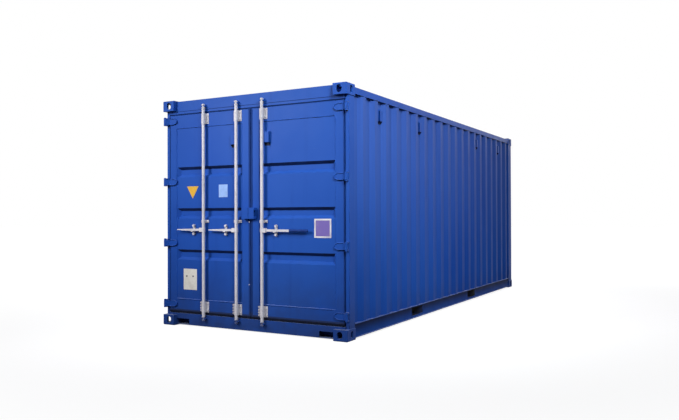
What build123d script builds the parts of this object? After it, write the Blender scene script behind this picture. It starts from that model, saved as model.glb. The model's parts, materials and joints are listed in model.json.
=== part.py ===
from build123d import *
import os

# Overall size over the corner fittings
LENGTH = 6058.0
WIDTH = 2438.0
HEIGHT = 2591.0

# Corner fittings
FITTING_LENGTH = 178.0
FITTING_WIDTH = 162.0
FITTING_HEIGHT = 118.0
FITTING_WALL = 16.0
FITTING_PLATE = 28.0
FITTING_EDGE = 9.0
SLOT_LENGTH = 124.5
SLOT_WIDTH = 63.5
SLOT_FROM_END = 101.5
SLOT_FROM_SIDE = 89.0
FACE_HOLE_HEIGHT = 79.5
END_HOLE_WIDTH = 63.5
SIDE_HOLE_WIDTH = 51.0

# Corner posts
POST_SETBACK = 7.0
POST_WALL = 6.0
POST_BEND = 8.0
DOOR_POST_FACE = 61.0
DOOR_POST_STEP = 117.0
DOOR_POST_FRONT_WIDTH = 44.0
POST_WIDTH = 72.0

# Door header and sill
END_MEMBER_FACE = 47.0
END_MEMBER_WALL = 4.5
HEADER_DEPTH = 155.0
HEADER_TOP_DROP = 10.0
HEADER_STEP_HEIGHT = 30.0
HEADER_STEP_DEPTH = 7.0
SEAL_LIP = 20.0
SEAL_LIP_THICKNESS = 8.0
SILL_BOTTOM = 12.0
SILL_TOP = 140.0
SILL_NOTCH_LENGTH = 192.0
SILL_NOTCH_TOP = 80.0

# Side and front rails
TOP_RAIL_DEPTH = 66.0
TOP_RAIL_WIDTH = 60.0
TOP_RAIL_WALL = 3.0
ROOF_EDGE_DROP = 26.0
BOTTOM_RAIL_LOW = 18.0
BOTTOM_RAIL_TOP = 160.0
BOTTOM_RAIL_WALL = 4.5
BOTTOM_RAIL_FLANGE = 48.0
BOTTOM_RAIL_FOOT = 30.0
BOTTOM_RAIL_LIP = 8.0

# Corrugated walls
SIDE_WALL_SETBACK = 12.0
SIDE_SHEET = 2.0
SIDE_SPACING = 280.4
SIDE_CREST = 72.0
SIDE_SLOPE = 68.0
SIDE_DEPTH = 36.0
SIDE_FIRST_CREST = 414.0
FRONT_WALL_SETBACK = 14.0
FRONT_SHEET = 2.0
FRONT_SPACING = 250.0
FRONT_CREST = 110.0
FRONT_SLOPE = 18.0
FRONT_DEPTH = 45.6

# Roof
ROOF_SHEET = 2.0
ROOF_RIB_HEIGHT = 16.0
ROOF_RIB_WIDTH = 118.0
ROOF_RIB_SIDE_MARGIN = 119.0
ROOF_RIB_END_MARGIN = 25.0
ROOF_RIB_SPACING = 209.0
ROOF_RIB_TAPER = 40.0
ROOF_OVERLAP = 48.0
END_PLATE_THICKNESS = 3.0

# Floor and base
CROSS_MEMBER_LOW = 26.0
CROSS_MEMBER_HEIGHT = 122.0
CROSS_MEMBER_FLANGE = 45.0
CROSS_MEMBER_WALL = 4.0
CROSS_MEMBER_COUNT = 19
FLOOR_THICKNESS = 28.0
FLOOR_EDGE_GAP = 9.0
FLOOR_BOARD_COUNT = 5
FLOOR_BOARD_GAP = 2.0
POCKET_WIDTH = 350.0
POCKET_SPACING = 2052.0
POCKET_SHIFT = -183.0
POCKET_LOW = 50.0
POCKET_TOP_PLATE = 3.0
POCKET_SIDE_PLATE = 4.5
POCKET_STRAP_WIDTH = 200.0
POCKET_STRAP_THICKNESS = 6.0

# Doors
DOOR_FACE = 55.0
DOOR_THICKNESS = 50.0
DOOR_SIDE_GAP = 8.0
DOOR_SEAM_GAP = 20.0
DOOR_BOTTOM_GAP = 10.0
DOOR_TOP_GAP = 10.0
STILE_WIDTH = 100.0
STILE_WALL = 3.2
DOOR_RAIL_HEIGHT = 154.0
DOOR_RAIL_WALL = 3.0
PANEL_SHEET = 2.0
PANEL_FACE_DROP = 4.0
GROOVE_COUNT = 3
GROOVE_SPACING = 474.0
GROOVE_HEIGHT = 122.0
GROOVE_DEPTH = 34.0
GROOVE_TAPER = 43.0
GROOVE_END_GAP = 6.0
GASKET_WIDTH = 34.0
GASKET_CORNER_GAP = 0.5
SEAT_CLEARANCE = 0.3

# Hinges
HINGE_COUNT = 4
HINGE_FROM_BOTTOM = 95.0
HINGE_FROM_TOP = 72.0
PIN_INSET = 16.0
PIN_FROM_END = 18.0
PIN_RADIUS = 9.0
PIN_CLEARANCE = 0.1
BARREL_RADIUS = 16.0
BLADE_HEIGHT = 66.0
BLADE_THICKNESS = 12.0
BLADE_LENGTH = 152.0
BLADE_TIP_HEIGHT = 34.0
BLADE_TAPER_LENGTH = 34.0
BLADE_KNEE_INSET = 6.0
BLADE_KNEE_BACK = 8.0
NECK_INSET = 4.0
NECK_TUCK = 1.0
LUG_THICKNESS = 11.0
LUG_GAP = 1.5
PIN_HEAD = 5.0
PIN_HEAD_RADIUS = 12.0

# Lock rods, cams and keepers
ROD_RADIUS = 17.0
ROD_STANDOFF = 34.0
LEFT_OUTER_ROD = -632.0
INNER_ROD = 172.0
ROD_CLEARANCE = 0.3
KEEPER_RISE = 56.0
KEEPER_DROP = 34.0
CAM_DISC_RADIUS = 20.0
CAM_DISC = 10.0
CAM_CORE_RADIUS = 12.0
CAM_CORE = 18.0
CAM_DOME = 9.0
KEEPER_THICKNESS = 11.0
KEEPER_HORN = 12.0
KEEPER_CLEARANCE = 5.5
KEEPER_TIP_RADIUS = 5.0
BRACKET_WALL = 3.0
BRACKET_HEIGHT = 116.0
BRACKET_PLATE_REACH = 52.0
BRACKET_PLATE = 6.0
TOP_BRACKET_DROP = 71.0
BOTTOM_BRACKET_RISE = 83.0
GUIDE_RISE = 96.0
GUIDE_HEIGHT = 30.0
GUIDE_PLATE_REACH = 52.0

# Handles and catches
HANDLE_LEVEL = 1102.0
HUB_HEIGHT = 46.0
HUB_RADIUS = 20.0
HUB_CHEEK = 8.0
PIVOT_REACH = 38.0
PIVOT_RADIUS = 6.0
HUB_REACH = 54.0
HANDLE_THICKNESS = 12.0
HANDLE_CHEEK_GAP = 0.8
HANDLE_HEIGHT = 24.0
SHORT_HANDLE = 385.0
LONG_HANDLE = 348.0
GRIP_LENGTH = 226.0
GRIP_HEIGHT = 20.0
TIP_HEIGHT = 10.0
CATCH_REACH = 164.0
CATCH_WIDTH = 30.0
CATCH_HEIGHT = 124.0
CATCH_PLATE = 6.0
CATCH_KNOB_RADIUS = 13.0
CATCH_KNOB_OUT = 22.0
CATCH_KNOB_RISE = 46.0
CATCH_SHELF = 9.0
CATCH_SHELF_OUT = 42.0

# Lock box and vents
LOCK_BOX_LEFT = 88.0
LOCK_BOX_RIGHT = 75.0
LOCK_BOX_SEAM_GAP = 6.0
LOCK_BOX_RISE = 124.0
LOCK_BOX_HEIGHT = 120.0
LOCK_BOX_OUT = 50.0
LOCK_BOX_WALL = 4.0
LOCK_BOX_WINDOW = 64.0
DOOR_VENT_OFFSET = 224.0
DOOR_VENT_DROP = 187.0
SIDE_VENT_DROP = 165.0
VENTS_FROM_DOOR_END = [1, 5]
VENTS_FROM_CLOSED_END = [7, 3]
VENT_FLANGE_WIDTH = 66.0
VENT_FLANGE_HEIGHT = 190.0
VENT_FLANGE = 3.0
VENT_HOOD_WIDTH = 58.0
VENT_HOOD_HEIGHT = 150.0
VENT_OUT = 28.0
VENT_MOUTH = 34.0
VENT_WALL = 3.0
VENT_BAFFLE = 8.0

# Planes and lines that several pieces share
half_length = LENGTH / 2
half_width = WIDTH / 2
door_end = -half_length
fitting_back = half_length - FITTING_LENGTH
between_fittings = half_width - FITTING_WIDTH
post_side = half_width - POST_SETBACK
post_inner = post_side - POST_WIDTH
door_post_front = door_end + DOOR_POST_FACE
door_post_step = door_end + DOOR_POST_STEP
door_post_inner_front = post_side - DOOR_POST_FRONT_WIDTH
end_member_front = door_end + END_MEMBER_FACE
rail_top = HEIGHT - ROOF_EDGE_DROP
top_rail_low = rail_top - TOP_RAIL_DEPTH
header_bottom = HEIGHT - HEADER_DEPTH
header_top = HEIGHT - HEADER_TOP_DROP
floor_low = CROSS_MEMBER_LOW + CROSS_MEMBER_HEIGHT
floor_top = floor_low + FLOOR_THICKNESS
side_crest_x = half_width - SIDE_WALL_SETBACK
side_valley_x = side_crest_x - SIDE_DEPTH
front_crest_y = half_length - FRONT_WALL_SETBACK
rail_web = post_side - BOTTOM_RAIL_LIP
rail_lip_low = BOTTOM_RAIL_TOP - BOTTOM_RAIL_WALL
pocket_top = floor_low - POCKET_TOP_PLATE
pocket_centres = [POCKET_SHIFT - POCKET_SPACING / 2, POCKET_SHIFT + POCKET_SPACING / 2]

door_front = door_end + DOOR_FACE
door_back = door_front + DOOR_THICKNESS
door_inner_edge = DOOR_SEAM_GAP / 2
door_outer_edge = door_post_inner_front - DOOR_SIDE_GAP
door_low = SILL_TOP + DOOR_BOTTOM_GAP
door_high = header_bottom - DOOR_TOP_GAP
panel_left = door_inner_edge + STILE_WIDTH
panel_right = door_outer_edge - STILE_WIDTH
panel_low = door_low + DOOR_RAIL_HEIGHT
panel_high = door_high - DOOR_RAIL_HEIGHT
pin_x = half_width - PIN_INSET
pin_y = door_end + PIN_FROM_END
rod_y = door_front - ROD_STANDOFF

hinge_step = (door_high - HINGE_FROM_TOP - door_low - HINGE_FROM_BOTTOM) / (HINGE_COUNT - 1)
hinge_levels = [door_low + HINGE_FROM_BOTTOM + index * hinge_step for index in range(HINGE_COUNT)]
top_keeper_level = header_bottom + KEEPER_RISE
bottom_keeper_level = SILL_TOP - KEEPER_DROP
cam_reach = CAM_CORE / 2 + CAM_DISC + CAM_DOME
cam_top = top_keeper_level + cam_reach
cam_bottom = bottom_keeper_level - cam_reach

side_fold = SIDE_CREST / 2 + SIDE_SLOPE
side_run = fitting_back - side_fold - door_end - SIDE_FIRST_CREST
side_crest_count = int(side_run // SIDE_SPACING) + 1
front_crest_count = int(2 * post_inner // FRONT_SPACING)
roof_rib_count = int(2 * (fitting_back - ROOF_RIB_END_MARGIN) // ROOF_RIB_SPACING)
vent_valleys = VENTS_FROM_DOOR_END + [side_crest_count - back for back in VENTS_FROM_CLOSED_END]


def block(x0, x1, y0, y1, z0, z1):
    """Box between two corners."""
    centre = Pos((x0 + x1) / 2, (y0 + y1) / 2, (z0 + z1) / 2)
    return centre * Box(abs(x1 - x0), abs(y1 - y0), abs(z1 - z0))


def upright(points, z0, z1):
    """Plan outline raised from z0 to z1."""
    face = make_face(Polyline(*points, close=True))
    return extrude(Pos(0, 0, z0) * face, amount=z1 - z0, dir=(0, 0, 1))


def post(x, y, radius, z0, z1):
    """Upright cylinder between two levels."""
    return Pos(x, y, (z0 + z1) / 2) * Cylinder(radius, z1 - z0)


def peg(x, z, radius, y0, y1):
    """Cylinder along Y between two planes."""
    return Pos(x, (y0 + y1) / 2, z) * Rot(90, 0, 0) * Cylinder(radius, abs(y1 - y0))


def other_side(shape):
    """Mirror image across the length of the container."""
    return mirror(shape, about=Plane.YZ)


def tube_section(outline, wall, sharp_corner, z0, z1):
    """Hollow upright section with its corners bent round, but for one inward corner."""
    bends = [v for v in outline.vertices() if (Vector(v) - Vector(*sharp_corner, 0)).length > wall]
    outer = fillet(bends, POST_BEND)
    inner = offset(outline, -wall, kind=Kind.INTERSECTION)
    return extrude(Pos(0, 0, z0) * (outer - inner), amount=z1 - z0, dir=(0, 0, 1))


def corner_fitting():
    """Hollow casting with its outer corner at the origin, reaching towards -X, -Y and -Z."""
    corner = (Align.MAX, Align.MAX, Align.MAX)
    body = Box(FITTING_WIDTH, FITTING_LENGTH, FITTING_HEIGHT, align=corner)
    outer_edges = [
        body.edges().filter_by(Axis.X).group_by(Axis.Y)[-1].sort_by(Axis.Z)[-1],
        body.edges().filter_by(Axis.Y).group_by(Axis.X)[-1].sort_by(Axis.Z)[-1],
        body.edges().filter_by(Axis.Z).group_by(Axis.X)[-1].sort_by(Axis.Y)[-1],
    ]
    body = fillet(outer_edges, FITTING_EDGE)
    cavity = Pos(-FITTING_WALL, -FITTING_WALL, -FITTING_PLATE) * Box(
        FITTING_WIDTH - 2 * FITTING_WALL,
        FITTING_LENGTH - 2 * FITTING_WALL,
        FITTING_HEIGHT - FITTING_PLATE - FITTING_WALL,
        align=corner,
    )
    hole_level = -FITTING_HEIGHT / 2
    slot = Pos(-SLOT_FROM_SIDE, -SLOT_FROM_END, -FITTING_PLATE) * extrude(
        SlotOverall(SLOT_LENGTH, SLOT_WIDTH, rotation=90), amount=FITTING_PLATE
    )
    end_plane = Plane((-SLOT_FROM_SIDE, 0, hole_level), x_dir=(1, 0, 0), z_dir=(0, -1, 0))
    end_hole = extrude(
        end_plane * SlotOverall(FACE_HOLE_HEIGHT, END_HOLE_WIDTH, rotation=90), amount=FITTING_WALL
    )
    side_plane = Plane((0, -SLOT_FROM_END, hole_level), x_dir=(0, 1, 0), z_dir=(-1, 0, 0))
    side_hole = extrude(
        side_plane * SlotOverall(FACE_HOLE_HEIGHT, SIDE_HOLE_WIDTH, rotation=90), amount=FITTING_WALL
    )
    return body - cavity - slot - end_hole - side_hole


def four_corners(fitting, level):
    """The same fitting turned to each corner of the plan."""
    pieces = []
    for side in (1, -1):
        for end in (1, -1):
            turned = fitting if side > 0 else mirror(fitting, about=Plane.YZ)
            turned = turned if end > 0 else mirror(turned, about=Plane.XZ)
            pieces.append(Pos(side * half_width, end * half_length, level) * turned)
    return pieces


def door_post():
    """Stepped hollow post: narrow beside the door's edge, wide behind it."""
    outline = make_face(
        Polyline(
            (door_post_inner_front, door_post_front),
            (post_side, door_post_front),
            (post_side, -fitting_back),
            (post_inner, -fitting_back),
            (post_inner, door_post_step),
            (door_post_inner_front, door_post_step),
            close=True,
        )
    )
    inward_corner = (door_post_inner_front, door_post_step)
    return tube_section(outline, POST_WALL, inward_corner, FITTING_HEIGHT, HEIGHT - FITTING_HEIGHT)


def front_post():
    """Hollow post at the closed end."""
    outline = make_face(
        Polyline(
            (post_inner, fitting_back),
            (post_side, fitting_back),
            (post_side, half_length - POST_SETBACK),
            (post_inner, half_length - POST_SETBACK),
            close=True,
        )
    )
    inward_corner = (post_inner, fitting_back)
    return tube_section(outline, POST_WALL, inward_corner, FITTING_HEIGHT, HEIGHT - FITTING_HEIGHT)


def door_header():
    """Hollow beam over the doors, between the top fittings, with its face stepped back low down."""
    beam = block(-between_fittings, between_fittings, end_member_front, -fitting_back,
                 header_bottom, header_top)
    hollow = block(-between_fittings + END_MEMBER_WALL, between_fittings - END_MEMBER_WALL,
                   end_member_front + END_MEMBER_WALL, -fitting_back - END_MEMBER_WALL,
                   header_bottom + END_MEMBER_WALL, header_top - END_MEMBER_WALL)
    step_back = block(-between_fittings, between_fittings, end_member_front,
                      end_member_front + HEADER_STEP_DEPTH, header_bottom, header_bottom + HEADER_STEP_HEIGHT)
    backing = block(-between_fittings, between_fittings, end_member_front + HEADER_STEP_DEPTH,
                    end_member_front + HEADER_STEP_DEPTH + END_MEMBER_WALL,
                    header_bottom, header_bottom + HEADER_STEP_HEIGHT + END_MEMBER_WALL)
    ledge = block(-between_fittings, between_fittings, end_member_front,
                  end_member_front + HEADER_STEP_DEPTH, header_bottom + HEADER_STEP_HEIGHT,
                  header_bottom + HEADER_STEP_HEIGHT + END_MEMBER_WALL)
    return beam - hollow - step_back + backing + ledge


def header_shoulder():
    """Right end of the header, under the top fitting and against the post."""
    top = HEIGHT - FITTING_HEIGHT
    front = block(between_fittings, door_post_inner_front, end_member_front, door_post_step,
                  header_bottom, top)
    front -= block(between_fittings, door_post_inner_front, end_member_front,
                   end_member_front + HEADER_STEP_DEPTH, header_bottom, header_bottom + HEADER_STEP_HEIGHT)
    back = block(between_fittings, post_inner, door_post_step, -fitting_back, header_bottom, top)
    return front + back


def seal_lips():
    """Strips on the header and the sill that the door seals close on."""
    y0 = door_post_step
    y1 = door_post_step + SEAL_LIP_THICKNESS
    return [
        block(-post_inner, post_inner, y0, y1, header_bottom - SEAL_LIP, header_bottom),
        block(-post_inner, post_inner, y0, y1, floor_low, door_low + SEAL_LIP),
    ]


def door_sill():
    """Hollow beam under the doors, between the bottom fittings, with open notches beside them."""
    beam = block(-between_fittings, between_fittings, end_member_front, -fitting_back,
                 SILL_BOTTOM, SILL_TOP)
    beam += block(-between_fittings, between_fittings, door_post_step, -fitting_back, SILL_TOP, floor_low)
    sill = beam - block(-between_fittings + END_MEMBER_WALL, between_fittings - END_MEMBER_WALL,
                        end_member_front + END_MEMBER_WALL, -fitting_back - END_MEMBER_WALL,
                        SILL_BOTTOM + END_MEMBER_WALL, FITTING_HEIGHT - END_MEMBER_WALL)
    for side in (1, -1):
        outer = side * between_fittings
        sill -= block(outer - side * SILL_NOTCH_LENGTH, outer, end_member_front,
                      end_member_front + END_MEMBER_WALL, SILL_BOTTOM + END_MEMBER_WALL, SILL_NOTCH_TOP)
    return sill


def sill_shoulder():
    """Sill beside the right door post, over the bottom fitting."""
    front = block(between_fittings, door_post_inner_front, end_member_front, door_post_step,
                  FITTING_HEIGHT, SILL_TOP)
    back = block(between_fittings, post_inner, door_post_step, -fitting_back, FITTING_HEIGHT, floor_low)
    return front + back


def top_side_rail():
    """Square tube along the top of the right side wall."""
    tube = block(post_side - TOP_RAIL_WIDTH, post_side, -fitting_back, fitting_back, top_rail_low, rail_top)
    bore = block(post_side - TOP_RAIL_WIDTH + TOP_RAIL_WALL, post_side - TOP_RAIL_WALL,
                 -fitting_back, fitting_back, top_rail_low + TOP_RAIL_WALL, rail_top - TOP_RAIL_WALL)
    return tube - bore


def bottom_rail_lengths():
    """Web and foot of the right bottom rail, in lengths between the fork mouths."""
    ends = [-fitting_back]
    for centre in pocket_centres:
        ends += [centre - POCKET_WIDTH / 2, centre + POCKET_WIDTH / 2]
    ends.append(fitting_back)
    lengths = []
    for y0, y1 in zip(ends[0::2], ends[1::2]):
        web = block(rail_web - BOTTOM_RAIL_WALL, rail_web, y0, y1, BOTTOM_RAIL_LOW, rail_lip_low)
        foot = block(rail_web - BOTTOM_RAIL_FOOT, rail_web, y0, y1,
                     BOTTOM_RAIL_LOW, BOTTOM_RAIL_LOW + BOTTOM_RAIL_WALL)
        lengths.append(web + foot)
    return lengths


def bottom_rail_lip():
    """Flat top of the right bottom rail, which stands out past the web."""
    return block(post_side - BOTTOM_RAIL_FLANGE, post_side, -fitting_back, fitting_back,
                 rail_lip_low, BOTTOM_RAIL_TOP)


def fork_mouth_plates():
    """Plates over and under each fork mouth in the right bottom rail."""
    plates = []
    for centre in pocket_centres:
        y0 = centre - POCKET_WIDTH / 2
        y1 = centre + POCKET_WIDTH / 2
        for z0, z1 in ((pocket_top, rail_lip_low), (BOTTOM_RAIL_LOW, POCKET_LOW)):
            plates.append(block(rail_web - BOTTOM_RAIL_WALL, rail_web, y0, y1, z0, z1))
    return plates


def corrugation(start, end, first_crest, spacing, count, crest, slope, depth):
    """Points of one folded line: distance along the wall and drop below the crests."""
    points = [(start, depth)]
    for index in range(count):
        centre = first_crest + index * spacing
        points += [
            (centre - crest / 2 - slope, depth),
            (centre - crest / 2, 0),
            (centre + crest / 2, 0),
            (centre + crest / 2 + slope, depth),
        ]
    points.append((end, depth))
    return points


def side_wall():
    """Folded sheet between the right rails."""
    line = corrugation(-fitting_back, fitting_back, door_end + SIDE_FIRST_CREST, SIDE_SPACING,
                       side_crest_count, SIDE_CREST, SIDE_SLOPE, SIDE_DEPTH)
    outer = [(side_crest_x - drop, along) for along, drop in line]
    inner = [(x - SIDE_SHEET, y) for x, y in reversed(outer)]
    return upright(outer + inner, BOTTOM_RAIL_TOP, top_rail_low)


def front_wall():
    """Folded sheet between the posts of the closed end."""
    first = -(front_crest_count - 1) / 2 * FRONT_SPACING
    line = corrugation(-post_inner, post_inner, first, FRONT_SPACING, front_crest_count,
                       FRONT_CREST, FRONT_SLOPE, FRONT_DEPTH)
    outer = [(along, front_crest_y - drop) for along, drop in line]
    inner = [(x, y - FRONT_SHEET) for x, y in reversed(outer)]
    wall = upright(outer + inner, BOTTOM_RAIL_TOP, top_rail_low)
    for side in (1, -1):
        wall -= block(side * between_fittings, side * post_inner, fitting_back, half_length,
                      HEIGHT - FITTING_HEIGHT, top_rail_low)
    return wall


def front_top_rail():
    """Square tube over the closed end."""
    y1 = half_length - POST_SETBACK
    y0 = y1 - TOP_RAIL_WIDTH
    tube = block(-between_fittings, between_fittings, y0, y1, top_rail_low, rail_top)
    bore = block(-between_fittings, between_fittings, y0 + TOP_RAIL_WALL, y1 - TOP_RAIL_WALL,
                 top_rail_low + TOP_RAIL_WALL, rail_top - TOP_RAIL_WALL)
    return tube - bore


def front_bottom_rail():
    """Hollow beam under the closed end."""
    y1 = half_length - POST_SETBACK
    y0 = y1 - TOP_RAIL_WIDTH
    tube = block(-between_fittings, between_fittings, y0, y1, BOTTOM_RAIL_LOW, BOTTOM_RAIL_TOP)
    bore = block(-between_fittings, between_fittings, y0 + BOTTOM_RAIL_WALL, y1 - BOTTOM_RAIL_WALL,
                 BOTTOM_RAIL_LOW + BOTTOM_RAIL_WALL, BOTTOM_RAIL_TOP - BOTTOM_RAIL_WALL)
    return tube - bore


def roof():
    """Flat sheet over the side rails with pressed ribs across it."""
    edge = half_width - ROOF_OVERLAP
    sheet = block(-edge, edge, -fitting_back, fitting_back, rail_top, rail_top + ROOF_SHEET)
    length = WIDTH - 2 * ROOF_RIB_SIDE_MARGIN
    rib = extrude(Rectangle(length, ROOF_RIB_WIDTH), amount=ROOF_RIB_HEIGHT, taper=ROOF_RIB_TAPER)
    hollow = extrude(Rectangle(length - 2 * ROOF_SHEET, ROOF_RIB_WIDTH - 2 * ROOF_SHEET),
                     amount=ROOF_RIB_HEIGHT, taper=ROOF_RIB_TAPER)
    places = GridLocations(0, ROOF_RIB_SPACING, 1, roof_rib_count)
    ribs = [Pos(0, 0, rail_top + ROOF_SHEET) * place * rib for place in places]
    hollows = [Pos(0, 0, rail_top) * place * hollow for place in places]
    return sheet + ribs - hollows


def roof_end_plate():
    """Flat plate that carries the roof on to the closed end's top rail."""
    return block(-between_fittings, between_fittings, fitting_back, half_length - POST_SETBACK,
                 rail_top, rail_top + END_PLATE_THICKNESS)


def floor_boards():
    """Plywood boards laid along the container."""
    y0 = door_post_step + SEAL_LIP_THICKNESS + FLOOR_BOARD_GAP
    y1 = half_length - POST_SETBACK - TOP_RAIL_WIDTH - FLOOR_BOARD_GAP
    edge = side_valley_x - SIDE_SHEET - FLOOR_EDGE_GAP
    step = (2 * edge + FLOOR_BOARD_GAP) / FLOOR_BOARD_COUNT
    boards = []
    for index in range(FLOOR_BOARD_COUNT):
        left = -edge + index * step
        boards.append(block(left, left + step - FLOOR_BOARD_GAP, y0, y1, floor_low, floor_top))
    corner = post_inner - FLOOR_BOARD_GAP
    for index, side in ((0, -1), (-1, 1)):
        for end in (1, -1):
            boards[index] -= block(side * corner, side * half_width, end * (fitting_back - FLOOR_BOARD_GAP),
                                   end * half_length, floor_low, floor_top)
    return boards


def channel_across(y):
    """Cross member: a channel from rail to rail with its open side towards the closed end."""
    x = rail_web - BOTTOM_RAIL_WALL
    outer = block(-x, x, y, y + CROSS_MEMBER_FLANGE, CROSS_MEMBER_LOW, floor_low)
    inner = block(-x, x, y + CROSS_MEMBER_WALL, y + CROSS_MEMBER_FLANGE,
                  CROSS_MEMBER_LOW + CROSS_MEMBER_WALL, floor_low - CROSS_MEMBER_WALL)
    return outer - inner


def cross_members():
    """Evenly spaced channels, left out where the fork pockets run."""
    first = -fitting_back
    last = half_length - POST_SETBACK - TOP_RAIL_WIDTH
    step = (last - first) / (CROSS_MEMBER_COUNT + 1)
    reach = POCKET_WIDTH / 2 + POCKET_SIDE_PLATE + CROSS_MEMBER_FLANGE
    channels = []
    for index in range(1, CROSS_MEMBER_COUNT + 1):
        y = first + index * step
        if all(abs(y - centre) > reach for centre in pocket_centres):
            channels.append(channel_across(y))
    return channels


def fork_pocket_plates(centre):
    """Roof of one fork tunnel across the base, and a strap under each of its mouths."""
    x = rail_web - BOTTOM_RAIL_WALL
    outer = POCKET_WIDTH / 2 + POCKET_SIDE_PLATE
    plates = [block(-x, x, centre - outer, centre + outer, pocket_top, floor_low)]
    for side in (1, -1):
        plates.append(block(side * (x - POCKET_STRAP_WIDTH), side * x, centre - outer, centre + outer,
                            CROSS_MEMBER_LOW, CROSS_MEMBER_LOW + POCKET_STRAP_THICKNESS))
    return plates


def fork_pocket_sides(centre):
    """Side plates of one fork tunnel."""
    x = rail_web - BOTTOM_RAIL_WALL
    inner = POCKET_WIDTH / 2
    outer = inner + POCKET_SIDE_PLATE
    low = CROSS_MEMBER_LOW + POCKET_STRAP_THICKNESS
    return [block(-x, x, centre + side * inner, centre + side * outer, low, pocket_top) for side in (1, -1)]


def keeper(x, level):
    """Forked plate that the cam's core sits in."""
    half = CAM_CORE_RADIUS + KEEPER_CLEARANCE
    outer = half + KEEPER_HORN
    throat = rod_y + CAM_CORE_RADIUS + KEEPER_CLEARANCE
    tip = rod_y - CAM_CORE_RADIUS
    z0 = level - KEEPER_THICKNESS / 2
    z1 = level + KEEPER_THICKNESS / 2
    fork = block(x - outer, x + outer, tip, end_member_front, z0, z1)
    fork -= block(x - half, x + half, tip, throat, z0, z1)
    tips = fork.edges().filter_by(Axis.Z).group_by(Axis.Y)[0]
    return fillet(tips, KEEPER_TIP_RADIUS)


def hinge_blade(level):
    """Forged strap from the door's face to the barrel round the pin."""
    z0 = level - BLADE_HEIGHT / 2
    z1 = level + BLADE_HEIGHT / 2
    root = door_outer_edge - BLADE_KNEE_INSET
    tip = pin_x - BLADE_LENGTH
    strap_front = door_front - BLADE_THICKNESS
    strap = upright(
        [
            (tip, door_front),
            (tip, strap_front),
            (root, strap_front),
            (pin_x - NECK_INSET, pin_y - BARREL_RADIUS + NECK_TUCK),
            (pin_x, pin_y + BARREL_RADIUS - NECK_TUCK),
            (root + BLADE_KNEE_BACK, door_front),
        ],
        z0, z1,
    )
    for sign in (1, -1):
        edge = level + sign * BLADE_HEIGHT / 2
        cut = make_face(
            Polyline(
                (tip, edge),
                (tip + BLADE_TAPER_LENGTH, edge),
                (tip, level + sign * BLADE_TIP_HEIGHT / 2),
                close=True,
            )
        )
        strap -= extrude(Plane((0, door_front, 0), x_dir=(1, 0, 0), z_dir=(0, -1, 0)) * cut,
                         amount=BLADE_THICKNESS)
    barrel = post(pin_x, pin_y, BARREL_RADIUS, z0, z1)
    return strap + barrel - post(pin_x, pin_y, PIN_RADIUS + PIN_CLEARANCE, z0, z1)


def hinge_lugs(level):
    """Pair of ears on the post, above and below the blade."""
    ears = []
    for sign in (1, -1):
        near = level + sign * (BLADE_HEIGHT / 2 + LUG_GAP)
        far = near + sign * LUG_THICKNESS
        z0, z1 = min(near, far), max(near, far)
        ear = upright(
            [
                (door_post_inner_front + POST_BEND, door_post_front),
                (post_side - POST_BEND / 2, door_post_front),
                (pin_x + BARREL_RADIUS, pin_y),
                (pin_x - BARREL_RADIUS, pin_y),
            ],
            z0, z1,
        )
        ear += post(pin_x, pin_y, BARREL_RADIUS, z0, z1)
        ears.append(ear - post(pin_x, pin_y, PIN_RADIUS + PIN_CLEARANCE, z0, z1))
    return ears


def hinge_pin(level):
    """Headed pin through both ears and the barrel."""
    reach = BLADE_HEIGHT / 2 + LUG_GAP + LUG_THICKNESS
    shank = post(pin_x, pin_y, PIN_RADIUS, level - reach, level + reach)
    return shank + post(pin_x, pin_y, PIN_HEAD_RADIUS, level + reach, level + reach + PIN_HEAD)


def door_stiles():
    """Upright tubes at both edges of the right door."""
    stiles = []
    for x0 in (door_inner_edge, panel_right):
        tube = block(x0, x0 + STILE_WIDTH, door_front, door_back, door_low, door_high)
        bore = block(x0 + STILE_WALL, x0 + STILE_WIDTH - STILE_WALL, door_front + STILE_WALL,
                     door_back - STILE_WALL, door_low, door_high)
        stiles.append(tube - bore)
    return stiles


def door_rails():
    """Cross tubes at the top and bottom of the right door."""
    rails = []
    for z0 in (door_low, panel_high):
        tube = block(panel_left, panel_right, door_front, door_back, z0, z0 + DOOR_RAIL_HEIGHT)
        bore = block(panel_left, panel_right, door_front + DOOR_RAIL_WALL, door_back - DOOR_RAIL_WALL,
                     z0 + DOOR_RAIL_WALL, z0 + DOOR_RAIL_HEIGHT - DOOR_RAIL_WALL)
        rails.append(tube - bore)
    return rails


def door_panel():
    """Flat sheet of the right door with pressed grooves that end before the stiles."""
    face = door_front + PANEL_FACE_DROP
    sheet = block(panel_left, panel_right, face, face + PANEL_SHEET, panel_low, panel_high)
    middle_x = (panel_left + panel_right) / 2
    middle_z = (panel_low + panel_high) / 2
    width = panel_right - panel_left - 2 * GROOVE_END_GAP
    inward = Plane((middle_x, face, middle_z), x_dir=(1, 0, 0), z_dir=(0, 1, 0))
    places = GridLocations(0, GROOVE_SPACING, 1, GROOVE_COUNT)
    tray = extrude(Rectangle(width, GROOVE_HEIGHT), amount=GROOVE_DEPTH + PANEL_SHEET, taper=GROOVE_TAPER)
    hollow = extrude(Rectangle(width - 2 * PANEL_SHEET, GROOVE_HEIGHT - 2 * PANEL_SHEET),
                     amount=GROOVE_DEPTH, taper=GROOVE_TAPER)
    trays = [inward * place * tray for place in places]
    hollows = [inward * place * hollow for place in places]
    return sheet + trays - hollows


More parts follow.
